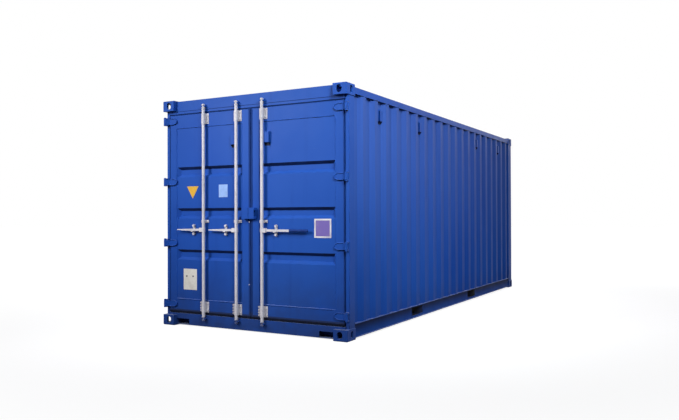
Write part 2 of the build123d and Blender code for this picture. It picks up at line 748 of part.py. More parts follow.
def door_gasket():
    """Four rubber strips on the back of the right door."""
    y0 = door_back
    y1 = door_post_step - SEAT_CLEARANCE
    gap = GASKET_CORNER_GAP
    inner = door_inner_edge
    outer = door_outer_edge
    low_strip = block(inner, outer, y0, y1, door_low, door_low + GASKET_WIDTH)
    high_strip = block(inner, outer, y0, y1, door_high - GASKET_WIDTH, door_high)
    z0 = door_low + GASKET_WIDTH + gap
    z1 = door_high - GASKET_WIDTH - gap
    return [
        low_strip,
        high_strip,
        block(inner, inner + GASKET_WIDTH, y0, y1, z0, z1),
        block(outer - GASKET_WIDTH, outer, y0, y1, z0, z1),
    ]


def rod_bracket(x, level, height, plate_reach):
    """Bearing sleeve round the rod on a web, with a plate bolted to the door on both sides."""
    z0 = level - height / 2
    z1 = level + height / 2
    sleeve_radius = ROD_RADIUS + BRACKET_WALL
    sleeve = post(x, rod_y, sleeve_radius, z0, z1)
    web = block(x - sleeve_radius, x + sleeve_radius, rod_y, door_front, z0, z1)
    plate = block(x - plate_reach, x + plate_reach, door_front - BRACKET_PLATE, door_front, z0, z1)
    return sleeve + web + plate - post(x, rod_y, ROD_RADIUS + ROD_CLEARANCE, z0, z1)


def lock_rod(x, side):
    """Rod with a grooved cam at each end and a forked hub for its handle."""
    rod = post(x, rod_y, ROD_RADIUS, cam_bottom + CAM_DOME, cam_top - CAM_DOME)
    for end, sign in ((cam_top, -1), (cam_bottom, 1)):
        dome = end + sign * CAM_DOME
        outer_disc = dome + sign * CAM_DISC
        core = outer_disc + sign * CAM_CORE
        inner_disc = core + sign * CAM_DISC
        groove = post(x, rod_y, ROD_RADIUS, min(outer_disc, core), max(outer_disc, core))
        groove -= post(x, rod_y, CAM_CORE_RADIUS, min(outer_disc, core), max(outer_disc, core))
        rod -= groove
        rod += post(x, rod_y, CAM_DISC_RADIUS, min(dome, outer_disc), max(dome, outer_disc))
        rod += post(x, rod_y, CAM_DISC_RADIUS, min(core, inner_disc), max(core, inner_disc))
        cap = Solid.make_cone(CAM_DISC_RADIUS, CAM_CORE_RADIUS, CAM_DOME)
        turn = Rot(0, 0, 0) if sign < 0 else Rot(180, 0, 0)
        rod += Pos(x, rod_y, dome) * turn * cap
    z0 = HANDLE_LEVEL - HUB_HEIGHT / 2
    z1 = HANDLE_LEVEL + HUB_HEIGHT / 2
    rod += post(x, rod_y, HUB_RADIUS, z0, z1)
    slot = HANDLE_THICKNESS / 2 + HANDLE_CHEEK_GAP
    for sign in (1, -1):
        rod += block(x, x + side * HUB_REACH, rod_y + sign * slot, rod_y + sign * (slot + HUB_CHEEK), z0, z1)
    pivot_x = x + side * PIVOT_REACH
    return rod + peg(pivot_x, HANDLE_LEVEL, PIVOT_RADIUS, rod_y - slot - HUB_CHEEK, rod_y + slot + HUB_CHEEK)


def handle_blank(points):
    """Flat bar from a front outline."""
    front = Plane((0, rod_y + HANDLE_THICKNESS / 2, 0), x_dir=(1, 0, 0), z_dir=(0, -1, 0))
    return extrude(front * make_face(Polyline(*points, close=True)), amount=HANDLE_THICKNESS)


def handle_with_eye(bar, pivot_x):
    """Round eye and pin hole at the hub end of a bar."""
    y0 = rod_y - HANDLE_THICKNESS / 2
    y1 = rod_y + HANDLE_THICKNESS / 2
    bar += peg(pivot_x, HANDLE_LEVEL, HANDLE_HEIGHT / 2, y0, y1)
    return bar - peg(pivot_x, HANDLE_LEVEL, PIVOT_RADIUS + PIN_CLEARANCE, y0, y1)


def short_handle(x):
    """Handle that points away from the seam and tapers to a blunt tip."""
    pivot_x = x - PIVOT_REACH
    half = HANDLE_HEIGHT / 2
    taper = x - CATCH_REACH - CATCH_WIDTH
    end = x - SHORT_HANDLE
    points = [
        (pivot_x, HANDLE_LEVEL - half),
        (pivot_x, HANDLE_LEVEL + half),
        (taper, HANDLE_LEVEL + half),
        (end, HANDLE_LEVEL + TIP_HEIGHT / 2),
        (end, HANDLE_LEVEL - TIP_HEIGHT / 2),
        (taper, HANDLE_LEVEL - half),
    ]
    return handle_with_eye(handle_blank(points), pivot_x)


def long_handle(x):
    """Handle with a grip of smaller section at its far end."""
    pivot_x = x + PIVOT_REACH
    half = HANDLE_HEIGHT / 2
    shoulder = x + LONG_HANDLE
    end = shoulder + GRIP_LENGTH
    points = [
        (pivot_x, HANDLE_LEVEL - half),
        (pivot_x, HANDLE_LEVEL + half),
        (shoulder, HANDLE_LEVEL + half),
        (shoulder, HANDLE_LEVEL + GRIP_HEIGHT / 2),
        (end, HANDLE_LEVEL + GRIP_HEIGHT / 2),
        (end, HANDLE_LEVEL - GRIP_HEIGHT / 2),
        (shoulder, HANDLE_LEVEL - GRIP_HEIGHT / 2),
        (shoulder, HANDLE_LEVEL - half),
    ]
    return handle_with_eye(handle_blank(points), pivot_x)


def handle_catch(x):
    """Round-ended plate with a knob above and below, and a shelf that the handle rests on."""
    front = Plane((x, door_front, HANDLE_LEVEL), x_dir=(1, 0, 0), z_dir=(0, -1, 0))
    catch = extrude(front * SlotOverall(CATCH_HEIGHT, CATCH_WIDTH, rotation=90), amount=CATCH_PLATE)
    for sign in (1, -1):
        catch += peg(x, HANDLE_LEVEL + sign * CATCH_KNOB_RISE, CATCH_KNOB_RADIUS,
                     door_front - CATCH_KNOB_OUT, door_front)
    shelf_top = HANDLE_LEVEL - HANDLE_HEIGHT / 2 - SEAT_CLEARANCE
    catch += block(x - CATCH_WIDTH / 2, x + CATCH_WIDTH / 2, door_front - CATCH_SHELF_OUT, door_front,
                   shelf_top - CATCH_SHELF, shelf_top)
    return catch


def lock_box_half(x0, x1, window):
    """Half of the padlock shelter, open towards the seam and underneath."""
    wall = LOCK_BOX_WALL
    z0 = HANDLE_LEVEL + LOCK_BOX_RISE
    z1 = z0 + LOCK_BOX_HEIGHT
    front = door_front - LOCK_BOX_OUT
    shell = block(x0, x1, front, door_front, z0, z1)
    seam, far = (x0, x1) if abs(x0) < abs(x1) else (x1, x0)
    inward = wall if far < seam else -wall
    shell -= block(seam, far + inward, front + wall, door_front, z0, z1 - wall)
    if window:
        middle = (z0 + z1) / 2
        shell -= block(far + inward, far, front + wall, door_front, middle - LOCK_BOX_WINDOW / 2,
                       middle + LOCK_BOX_WINDOW / 2)
    return shell


def vent():
    """Ventilator facing -Y from the XZ plane: flange, hood open below, side windows and a baffle."""
    half = VENT_HOOD_WIDTH / 2
    low = -VENT_HOOD_HEIGHT / 2
    top = VENT_HOOD_HEIGHT / 2
    brow = low + VENT_MOUTH
    outline = make_face(
        Polyline((0, low), (-VENT_OUT, brow), (-VENT_OUT, top - VENT_WALL), (0, top), close=True)
    )
    hood = extrude(Plane.YZ * outline, amount=half, both=True)
    hood -= block(-half + VENT_WALL, half - VENT_WALL, -VENT_OUT + VENT_WALL, -VENT_FLANGE,
                  low, top - 2 * VENT_WALL)
    hood -= block(-half, half, -VENT_OUT + 2 * VENT_WALL, -VENT_FLANGE, brow, top - 2 * VENT_WALL)
    hood += block(-VENT_BAFFLE / 2, VENT_BAFFLE / 2, -VENT_OUT + VENT_WALL, -VENT_FLANGE,
                  brow, top - VENT_WALL)
    flange = block(-VENT_FLANGE_WIDTH / 2, VENT_FLANGE_WIDTH / 2, -VENT_FLANGE, 0,
                   -VENT_FLANGE_HEIGHT / 2, VENT_FLANGE_HEIGHT / 2)
    return hood + flange


def door_vent(x):
    """Ventilator on a door's sheet."""
    return Pos(x, door_front + PANEL_FACE_DROP, panel_high - DOOR_VENT_DROP) * vent()


def side_vents():
    """Ventilators in the valleys of both side walls."""
    vents = []
    for valley in vent_valleys:
        y = door_end + SIDE_FIRST_CREST + (valley + 0.5) * SIDE_SPACING
        right = Pos(side_valley_x, y, top_rail_low - SIDE_VENT_DROP) * Rot(0, 0, 90) * vent()
        vents += [right, other_side(right)]
    return vents


def both_sides(piece):
    """A right-hand piece and its mirror image."""
    return [piece, other_side(piece)]


def hung(make):
    """One piece at each hinge level of the right door."""
    pieces = []
    for level in hinge_levels:
        made = make(level)
        pieces += made if isinstance(made, list) else [made]
    return pieces


def mirrored(pieces):
    """Mirror image of every piece in a list."""
    return [other_side(piece) for piece in pieces]


rod_places = [LEFT_OUTER_ROD, -INNER_ROD, INNER_ROD]
fitting = corner_fitting()
right_blades = hung(hinge_blade)
right_lugs = hung(hinge_lugs)
right_pins = hung(hinge_pin)


def brackets(places):
    """Top, middle and bottom bearings of the rods on one door."""
    pieces = []
    for x in places:
        pieces.append(rod_bracket(x, door_high - TOP_BRACKET_DROP, BRACKET_HEIGHT, BRACKET_PLATE_REACH))
        pieces.append(rod_bracket(x, HANDLE_LEVEL + GUIDE_RISE, GUIDE_HEIGHT, GUIDE_PLATE_REACH))
        pieces.append(rod_bracket(x, door_low + BOTTOM_BRACKET_RISE, BRACKET_HEIGHT, BRACKET_PLATE_REACH))
    return pieces


nodes = {
    "bottom_corner_fittings": four_corners(mirror(fitting, about=Plane.XY), 0),
    "top_corner_fittings": four_corners(fitting, HEIGHT),
    "door_posts": both_sides(door_post()),
    "front_posts": both_sides(front_post()),
    "door_header": [door_header()],
    "header_shoulders": both_sides(header_shoulder()),
    "door_sill": [door_sill()],
    "sill_shoulders": both_sides(sill_shoulder()),
    "seal_lips": seal_lips(),
    "top_side_rails": both_sides(top_side_rail()),
    "bottom_side_rails": bottom_rail_lengths() + mirrored(bottom_rail_lengths()),
    "bottom_rail_lips": both_sides(bottom_rail_lip()),
    "fork_mouth_plates": fork_mouth_plates() + mirrored(fork_mouth_plates()),
    "front_rails": [front_top_rail(), front_bottom_rail()],
    "right_side_wall": [side_wall()],
    "left_side_wall": [other_side(side_wall())],
    "front_wall": [front_wall()],
    "roof": [roof()],
    "roof_end_plate": [roof_end_plate()],
    "floor_boards": floor_boards(),
    "cross_members": cross_members(),
    "fork_pocket_plates": [plate for centre in pocket_centres for plate in fork_pocket_plates(centre)],
    "fork_pocket_sides": [plate for centre in pocket_centres for plate in fork_pocket_sides(centre)],
    "keepers": [keeper(x, level) for x in rod_places for level in (top_keeper_level, bottom_keeper_level)],
    "hinge_lugs": right_lugs + mirrored(right_lugs),
    "hinge_pins": right_pins + mirrored(right_pins),
    "side_vents": side_vents(),
    "right_door_stiles": door_stiles(),
    "right_door_rails": door_rails(),
    "right_door_panel": [door_panel()],
    "right_door_gasket": door_gasket(),
    "right_hinge_blades": right_blades,
    "right_rod_brackets": brackets([INNER_ROD]),
    "right_handle_catch": [handle_catch(INNER_ROD + CATCH_REACH)],
    "right_lock_box": [lock_box_half(LOCK_BOX_SEAM_GAP / 2, LOCK_BOX_RIGHT, True)],
    "right_door_vent": [door_vent(DOOR_VENT_OFFSET)],
    "left_door_stiles": mirrored(door_stiles()),
    "left_door_rails": mirrored(door_rails()),
    "left_door_panel": [other_side(door_panel())],
    "left_door_gasket": mirrored(door_gasket()),
    "left_hinge_blades": mirrored(right_blades),
    "left_rod_brackets": brackets([LEFT_OUTER_ROD, -INNER_ROD]),
    "left_handle_catches": [
        handle_catch(LEFT_OUTER_ROD - CATCH_REACH),
        handle_catch(-INNER_ROD - CATCH_REACH),
    ],
    "left_lock_box": [lock_box_half(-LOCK_BOX_LEFT, -LOCK_BOX_SEAM_GAP / 2, False)],
    "left_door_vent": [door_vent(-DOOR_VENT_OFFSET)],
    "left_outer_rod": [lock_rod(LEFT_OUTER_ROD, -1)],
    "left_inner_rod": [lock_rod(-INNER_ROD, -1)],
    "right_rod": [lock_rod(INNER_ROD, 1)],
    "left_outer_handle": [short_handle(LEFT_OUTER_ROD)],
    "left_inner_handle": [short_handle(-INNER_ROD)],
    "right_handle": [long_handle(INNER_ROD)],
}

os.makedirs("parts", exist_ok=True)
for name, pieces in nodes.items():
    solids = [solid for piece in pieces for solid in piece.solids()]
    export_step(Compound(label=name, children=solids), f"parts/{name}.step")
    print(name, len(solids))
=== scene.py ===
# %% [markdown]
# # A steel freight container, dressed in Blender
# The container is a welded steel box with folded walls, cast corners and two doors shut by
# upright lock rods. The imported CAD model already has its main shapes, in metres, so this lesson
# adds what a CAD model leaves out: paint, zinc, rubber and wood, the small fixings, the welds,
# the light and the camera.

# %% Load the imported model
import json
import math
import bmesh
import bpy
from mathutils import Matrix, Vector


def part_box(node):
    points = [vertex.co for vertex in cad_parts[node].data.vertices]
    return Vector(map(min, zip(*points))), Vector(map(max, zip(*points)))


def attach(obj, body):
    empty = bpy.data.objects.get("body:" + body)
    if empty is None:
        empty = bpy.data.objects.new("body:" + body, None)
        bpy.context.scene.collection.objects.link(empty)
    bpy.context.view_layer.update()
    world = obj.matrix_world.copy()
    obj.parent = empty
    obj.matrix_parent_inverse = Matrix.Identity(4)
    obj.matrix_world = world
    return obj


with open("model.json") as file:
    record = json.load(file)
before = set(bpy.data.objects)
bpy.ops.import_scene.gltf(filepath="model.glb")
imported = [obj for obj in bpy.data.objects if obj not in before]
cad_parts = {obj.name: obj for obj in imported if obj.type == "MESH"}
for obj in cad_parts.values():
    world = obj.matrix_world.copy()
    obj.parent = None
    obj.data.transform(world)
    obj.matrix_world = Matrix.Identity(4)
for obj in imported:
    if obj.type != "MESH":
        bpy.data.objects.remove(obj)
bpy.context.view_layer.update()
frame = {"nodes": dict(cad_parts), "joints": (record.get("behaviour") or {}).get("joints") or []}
nodes = frame["nodes"]
scene = bpy.context.scene

# %% [markdown]
# A material is a small program made of nodes. Wiring each one by hand is long, so one class wraps
# a socket and lets Python's own operators add Math nodes. A second class makes every other node:
# its settings come first, then the values or links of its sockets.

# %% Shader maths as expressions


class Signal:
    """A number that changes over a surface, with Python's operators."""

    def __init__(self, finish, socket):
        self.finish = finish
        self.socket = socket

    def math(self, operation, first, second=0.0):
        made = self.finish.node("ShaderNodeMath", {"operation": operation}, {0: first, 1: second})
        return made["Value"]

    def __add__(self, other):
        return self.math("ADD", self, other)

    def __sub__(self, other):
        return self.math("SUBTRACT", self, other)

    def __rsub__(self, other):
        return self.math("SUBTRACT", other, self)

    def __mul__(self, other):
        return self.math("MULTIPLY", self, other)

    def __gt__(self, other):
        return self.math("GREATER_THAN", self, other)

    def __lt__(self, other):
        return self.math("LESS_THAN", self, other)

    __radd__ = __add__
    __rmul__ = __mul__

    def apart(self, middle):
        """Distance from a value, whichever side."""
        return self.math("ABSOLUTE", self - middle)

    def ramp(self, low, high, to_low=0.0, to_high=1.0):
        """Smooth step from to_low at low to to_high at high."""
        made = self.finish.node("ShaderNodeMapRange", {"interpolation_type": "SMOOTHSTEP"},
                                {"Value": self, "From Min": low, "From Max": high,
                                 "To Min": to_low, "To Max": to_high})
        return made["Result"]


class Made:
    """A node whose outputs are read by name or place."""

    def __init__(self, finish, node):
        self.finish = finish
        self.node = node

    def __getitem__(self, key):
        return Signal(self.finish, self.node.outputs[key])


class Nodes:
    """Any node tree; node() takes a type, its settings, then its sockets' values or links."""

    def node(self, kind, settings=None, inputs=None):
        made = self.tree.nodes.new(kind)
        for key, value in (settings or {}).items():
            setattr(made, key, value)
        for key, value in (inputs or {}).items():
            for one in value if isinstance(value, list) else [value]:
                if isinstance(one, Signal):
                    self.tree.links.new(one.socket, made.inputs[key])
                else:
                    made.inputs[key].default_value = one
        return Made(self, made)


class Finish(Nodes):
    """One material with its node tree."""

    def __init__(self, name):
        self.material = bpy.data.materials.new(name)
        self.material.use_nodes = True
        self.tree = self.material.node_tree
        self.tree.nodes.clear()
        self.coords = self.node("ShaderNodeTexCoord")
        place = self.node("ShaderNodeSeparateXYZ", {}, {"Vector": self.coords["Object"]})
        facing = self.node("ShaderNodeSeparateXYZ", {}, {"Vector": self.coords["Normal"]})
        self.x, self.y, self.z = place["X"], place["Y"], place["Z"]
        self.nx, self.ny, self.nz = facing["X"], facing["Y"], facing["Z"]

    def noise(self, scale, stretch=(1.0, 1.0, 1.0), detail=3.0, roughness=0.55):
        """Soft noise over Object coordinates, stretched along the axes."""
        place = self.node("ShaderNodeMapping", {},
                          {"Vector": self.coords["Object"], "Scale": stretch})
        made = self.node("ShaderNodeTexNoise", {},
                         {"Vector": place["Vector"], "Scale": scale, "Detail": detail,
                          "Roughness": roughness})
        return made["Fac"]

    def blend(self, factor, first, second):
        """Colour mix."""
        made = self.node("ShaderNodeMix", {"data_type": "RGBA"}, {0: factor, 6: first, 7: second})
        return made[2]

    def bump(self, height, strength, distance, under=None):
        """A normal tilted by a height, on top of another bump where one is given."""
        inputs = {"Height": height, "Strength": strength, "Distance": distance}
        if under is not None:
            inputs["Normal"] = under
        return self.node("ShaderNodeBump", {}, inputs)["Normal"]

    def surface(self, inputs):
        """Ends the material in one Principled shader."""
        shader = self.node("ShaderNodeBsdfPrincipled", {}, inputs)
        self.node("ShaderNodeOutputMaterial", {}, {"Surface": shader["BSDF"]})
        return self.material


def tint(red, green, blue):
    """An sRGB colour, 0 to 255, as the linear values that Blender works in."""
    channels = [value / 255 for value in (red, green, blue)]
    linear = [v / 12.92 if v <= 0.04045 else ((v + 0.055) / 1.055) ** 2.4 for v in channels]
    return (*linear, 1.0)


print("helpers ready; a mid blue is", [round(v, 3) for v in tint(41, 80, 170)])

# %% [markdown]
# ## Blue paint
# The real box is sprayed with two coats of satin blue over a zinc primer, and it is nearly new.
# Flat colour would look like plastic, so the paint varies in many ways: a slow drift of tone,
# faint streaks that rain has drawn down the sheet, chalking with a painted sky sheen that makes
# the long sides lighter towards the top, road splash low down, painted shade on faces that point
# down, dust and a painted highlight on faces that point up, fine rubbed lines from handling, and
# a skin of orange peel that breaks up the gloss. The sheet also waves a little between its
# welds. The same function gives the inside its pale grey coat, chosen by the way each face
# points, and paints shade into places that no light reaches, such as the ventilators' mouths and
# the bottom rails' webs under their lip.
# A painted picture would need every sheet unwrapped first; noise over Object coordinates needs
# none of that and fits every node.

# %% Blue paint, with a pale coat inside
FRESH_BLUE = tint(26, 75, 168)
FADED_BLUE = tint(34, 83, 175)
STREAK_BLUE = tint(18, 56, 136)
CHALK_AND_SHEEN_BLUE = tint(66, 96, 174)
SPLASH_GRIME = tint(40, 46, 68)
# Painted shade colour, for faces that point down and for places no light reaches.
PAINTED_SHADE_BLUE = tint(9, 19, 46)
DUST_AND_HIGHLIGHT_GREY = tint(140, 150, 178)
PRIMER = tint(112, 118, 132)
INSIDE_GREY = tint(196, 200, 198)
INSIDE_SCUFF = tint(120, 118, 112)
CHALK_AND_SHEEN_LEVELS = (0.1, 2.4)
SPLASH_FOOT = 0.02
INSIDE_DIRT_LEVELS = (1.5, 0.2)


def blue_paint(name, inside=None, handling=0.5, low_dust=0.3, splash_top=0.45, waves=0.3,
               sheen=0.12, ledge=0.7, chalk=0.0, shade=None):
    """Satin paint; inside is 1 on faces with the pale coat, shade is 1 where shade is painted in.
    """
    f = Finish(name)
    drift = f.noise(0.55, detail=4.0)
    streak = f.noise(9.0, (1.0, 1.0, 0.05), detail=4.0).ramp(0.52, 0.76)
    cloud = f.noise(5.5, detail=5.0)
    fine = f.noise(230.0, detail=2.0)
    colour = f.blend(drift.ramp(0.35, 0.65), FRESH_BLUE, FADED_BLUE)
    # Lighter towards the top by chalk: some chalking and a painted sky sheen.
    colour = f.blend(f.z.ramp(*CHALK_AND_SHEEN_LEVELS) * chalk, colour, CHALK_AND_SHEEN_BLUE)
    colour = f.blend(streak * cloud * 0.45, colour, STREAK_BLUE)
    low = f.z.ramp(splash_top, SPLASH_FOOT) * cloud.ramp(0.2, 0.7, 0.35, 1.0) * low_dust
    colour = f.blend(low, colour, SPLASH_GRIME)
    # Painted shade: faces that point down are darkened as if in shadow.
    under = f.nz.ramp(-0.15, -0.5) * cloud.ramp(0.3, 0.7, 0.75, 0.95)
    colour = f.blend(under, colour, PAINTED_SHADE_BLUE)
    if shade is not None:
        colour = f.blend(shade(f), colour, PAINTED_SHADE_BLUE)
    # Faces that point up get dust and a painted highlight in one pale colour.
    dust_and_highlight = f.nz.ramp(ledge, 0.95) * cloud.ramp(0.2, 0.8, 0.25, 0.7)
    colour = f.blend(dust_and_highlight, colour, DUST_AND_HIGHLIGHT_GREY)
    rubbed = f.noise(26.0, (0.12, 1.0, 2.4), detail=6.0, roughness=0.7)
    patches = f.noise(2.1, detail=2.0)
    scuffs = rubbed.ramp(0.66, 0.72) * patches.ramp(0.5, 0.68) * handling
    colour = f.blend(scuffs * 0.6, colour, PRIMER)
    if inside is not None:
        dirt = cloud.ramp(0.5, 0.75) * f.z.ramp(*INSIDE_DIRT_LEVELS, 0.1, 0.6)
        coat = f.blend(dirt, INSIDE_GREY, INSIDE_SCUFF)
        colour = f.blend(inside(f), colour, coat)
    roughness = 0.36 + 0.16 * cloud + 0.10 * fine + 0.22 * scuffs + 0.18 * low
    peel = f.bump(fine, 0.05, 0.002)
    skin = f.bump(f.noise(2.6, (1.0, 1.0, 0.55), detail=1.0), waves, 0.004, peel)
    return f.surface({"Base Color": colour, "Roughness": roughness, "Normal": skin,
                      "Specular IOR Level": sheen})


print("paint function ready; a fresh coat is", [round(v, 3) for v in FRESH_BLUE])

# %% The paints, with the inside coat and the shade in their places
RAIL_WEB_LEVELS = (0.03, 0.15)
DOOR_VENT_MOUTH = (2.008, 2.044)
DOOR_VENT_FRONT = -2.9955
SIDE_VENT_MOUTH = (2.257, 2.293)
SIDE_VENT_FRONT = 1.1965


def between(signal, limits):
    """1 where a value lies between two limits."""
    return (signal < limits[1]) * (signal > limits[0])


def faces_centre(f):
    """Inner faces of the side walls."""
    return (f.nx * f.x) < -0.1


def faces_down(f):
    return f.nz < -0.3


def faces_door(f):
    return f.ny < -0.05


def faces_back(f):
    return f.ny > 0.05


def painted_shade_under_lip(f):
    """Painted shade on the bottom rails' webs, darkest under the lip above them."""
    return f.nx.apart(0.0).ramp(0.5, 0.9) * f.z.ramp(*RAIL_WEB_LEVELS, 0.1, 0.92)


def door_vent_mouth(f):
    """Unlit inside of the door ventilators, behind their open lower ends."""
    return between(f.z, DOOR_VENT_MOUTH) * (f.y > DOOR_VENT_FRONT)


def side_vent_mouth(f):
    """Unlit inside of the side ventilators, behind their open lower ends."""
    return between(f.z, SIDE_VENT_MOUTH) * (f.x.apart(0.0) < SIDE_VENT_FRONT)


paints = {
    "frame": blue_paint("blue_frame_paint", handling=0.8, low_dust=0.6),
    "casting": blue_paint("blue_casting_paint", handling=1.6, low_dust=0.5, waves=0.9),
    # The long sides get chalking and a painted sheen that make them lighter towards the top.
    "side": blue_paint("blue_side_paint", faces_centre, handling=0.35, sheen=0.06, chalk=0.65),
    "roof": blue_paint("blue_roof_paint", faces_down, handling=0.5),
    "closed_end": blue_paint("blue_end_paint", faces_door, handling=0.4),
    "door": blue_paint("blue_door_paint", faces_back, handling=0.5, low_dust=0.42, splash_top=0.95),
    "fixing": blue_paint("blue_fixing_paint", handling=1.0, waves=0.1),
    "door_vent": blue_paint("blue_door_vent_paint", waves=0.1, shade=door_vent_mouth),
    "side_vent": blue_paint("blue_side_vent_paint", waves=0.1, shade=side_vent_mouth),
    # Paint for ledges, edges and the panel foot weld: their tops get dust and a painted highlight.
    "ledge": blue_paint("blue_ledge_paint", handling=0.6, waves=0.1, low_dust=0.0, ledge=0.25),
    "rail": blue_paint("blue_rail_paint", handling=0.6, low_dust=0.2, sheen=0.02, shade=painted_shade_under_lip),
}
print("paints", sorted(paints))

# %% [markdown]
# ## Bare metal, rubber, wood and undercoat
# The lock rods, handles and brackets are hot-dip galvanised: zinc freezes into flat crystals,
# which a Voronoi cell pattern imitates, and it dulls in patches. The door seals are black rubber
# with some blue overspray. The floor is thick plywood, so its grain is noise pulled long and thin
# down each board. The base is sprayed with a black wax that lies unevenly over the blue. Scanned
# pictures of each could be wrapped on, but a few layers of noise have no seams and no repeats.

# %% Zinc
ZINC_LIGHT = tint(202, 199, 206)
ZINC_GREY = tint(174, 173, 183)
ZINC_STAIN = tint(140, 128, 116)
CAM_OVERSPRAY = tint(58, 76, 132)
CAM_OVERSPRAY_LEVELS = (0.130, 0.118)


def hot_dip_zinc():
    f = Finish("galvanised_steel")
    crystals = f.node("ShaderNodeTexVoronoi", {}, {"Vector": f.coords["Object"], "Scale": 95.0})
    shade = f.node("ShaderNodeSeparateColor", {}, {"Color": crystals["Color"]})["Red"]
    patches = f.noise(7.0, (1.0, 1.0, 0.4), detail=5.0)
    speck = f.noise(60.0, (1.0, 1.0, 0.15), detail=4.0)
    colour = f.blend(0.25 * shade + 0.35 * patches.ramp(0.4, 0.7), ZINC_LIGHT, ZINC_GREY)
    colour = f.blend(speck.ramp(0.66, 0.76) * 0.25, colour, ZINC_STAIN)
    sprayed = f.z.ramp(*CAM_OVERSPRAY_LEVELS) * patches.ramp(0.2, 0.6, 0.7, 0.95)
    colour = f.blend(sprayed, colour, CAM_OVERSPRAY)
    roughness = 0.60 + 0.10 * shade + 0.16 * patches
    metal = 0.52 - 0.20 * patches.ramp(0.45, 0.75)
    skin = f.bump(f.noise(140.0, detail=3.0), 0.06, 0.002)
    return f.surface({"Base Color": colour, "Roughness": roughness, "Metallic": metal,
                      "Normal": skin})


zinc = hot_dip_zinc()
print("zinc", zinc.name)

# %% Rubber, plywood and undercoat
RUBBER_BLACK = tint(12, 17, 36)
RUBBER_CHALK = tint(22, 30, 58)
SPRAYED_GREY = tint(38, 54, 98)
SPRAYED_BLUE = tint(22, 54, 122)
SPRAY_START_LEVELS = (0.166, 0.174)
SPRAY_BLUE_LEVELS = (0.19, 0.24)
PLY_PALE = tint(142, 96, 58)
PLY_GRAIN = tint(94, 58, 34)
PLY_BLEACHED = tint(168, 122, 80)
PLY_WORN = tint(86, 78, 70)
WAX_BLACK = tint(22, 23, 27)


def door_rubber():
    f = Finish("door_rubber")
    chalk = f.noise(40.0, (1.0, 1.0, 0.2), detail=4.0)
    colour = f.blend(chalk.ramp(0.45, 0.8), RUBBER_BLACK, RUBBER_CHALK)
    overspray = f.z.ramp(*SPRAY_START_LEVELS) * chalk.ramp(0.2, 0.6, 0.75, 1.0)
    sprayed = f.blend(f.z.ramp(*SPRAY_BLUE_LEVELS), SPRAYED_GREY, SPRAYED_BLUE)
    colour = f.blend(overspray, colour, sprayed)
    skin = f.bump(f.noise(300.0, detail=2.0), 0.2, 0.001)
    return f.surface({"Base Color": colour, "Roughness": 0.7 + 0.2 * chalk, "Normal": skin,
                      "Specular IOR Level": 0.12})


def floor_plywood():
    f = Finish("floor_plywood")
    grain = f.noise(34.0, (1.0, 0.035, 1.0), detail=6.0, roughness=0.65)
    board = f.noise(1.3, (1.0, 0.12, 0.0), detail=1.0)
    worn = f.noise(3.0, (1.0, 0.4, 1.0), detail=5.0)
    colour = f.blend(grain.ramp(0.32, 0.7), PLY_PALE, PLY_GRAIN)
    colour = f.blend(board.ramp(0.35, 0.65) * 0.5, colour, PLY_BLEACHED)
    colour = f.blend(worn.ramp(0.55, 0.8) * 0.5, colour, PLY_WORN)
    skin = f.bump(grain, 0.35, 0.002)
    return f.surface({"Base Color": colour, "Roughness": 0.55 + 0.25 * worn, "Normal": skin})


def base_wax():
    f = Finish("base_wax_over_blue")
    spray = f.noise(12.0, detail=5.0)
    cover = spray.ramp(0.28, 0.6, 0.62, 1.0)
    colour = f.blend(cover, STREAK_BLUE, WAX_BLACK)
    skin = f.bump(spray, 0.5, 0.004)
    return f.surface({"Base Color": colour, "Roughness": 0.5 + 0.3 * spray, "Normal": skin})


rubber = door_rubber()
plywood = floor_plywood()
wax = base_wax()
print("other finishes", rubber.name, plywood.name, wax.name)

# %% [markdown]
# ## Finishes on the CAD nodes
# On the real box whole groups of parts leave the factory with one finish: castings, sheets,
# locking gear, seals. Each node could be dressed by hand, but their names already say what they
# are, so a short list holds the special ones and a word in the name decides the rest.

# %% Give every node its finish
FINISH_OF = {
    "bottom_corner_fittings": paints["casting"],
    "top_corner_fittings": paints["casting"],
    "right_side_wall": paints["side"],
    "left_side_wall": paints["side"],
    "roof": paints["roof"],
    "front_wall": paints["closed_end"],
    "floor_boards": plywood,
    "cross_members": wax,
    "fork_pocket_plates": wax,
    "fork_pocket_sides": wax,
    "hinge_lugs": paints["fixing"],
    "hinge_pins": paints["fixing"],
    "keepers": paints["fixing"],
    "side_vents": paints["side_vent"],
    "left_door_vent": paints["door_vent"],
    "right_door_vent": paints["door_vent"],
    "bottom_side_rails": paints["rail"],
    "fork_mouth_plates": paints["rail"],
}


def usual_finish(name):
    """Finish of a node that isn't in the list, from a word in its name."""
    if "gasket" in name:
        return rubber
    if any(word in name for word in ("_rod", "_handle", "catch")):
        return zinc
    if any(word in name for word in ("lock_box", "blades")):
        return paints["fixing"]
    return paints["door"] if "_door_" in name else paints["frame"]


for name, node in nodes.items():
    node.data.materials.clear()
    node.data.materials.append(FINISH_OF[name] if name in FINISH_OF else usual_finish(name))
print("nodes with a finish", len(nodes))

# %% [markdown]
# ## Pieces that repeat
# Bolts, rivets, screws, welds and grilles repeat along rows and lines, which is what Geometry
# Nodes are for: one small tree holds the shape, and a bare set of points or edges says where it
# goes. Each tree has its sizes as named inputs. The result is turned into a plain mesh straight
# away, one for each moving body, because the exported model keeps no instances and no modifiers.

# %% A grower of repeated pieces


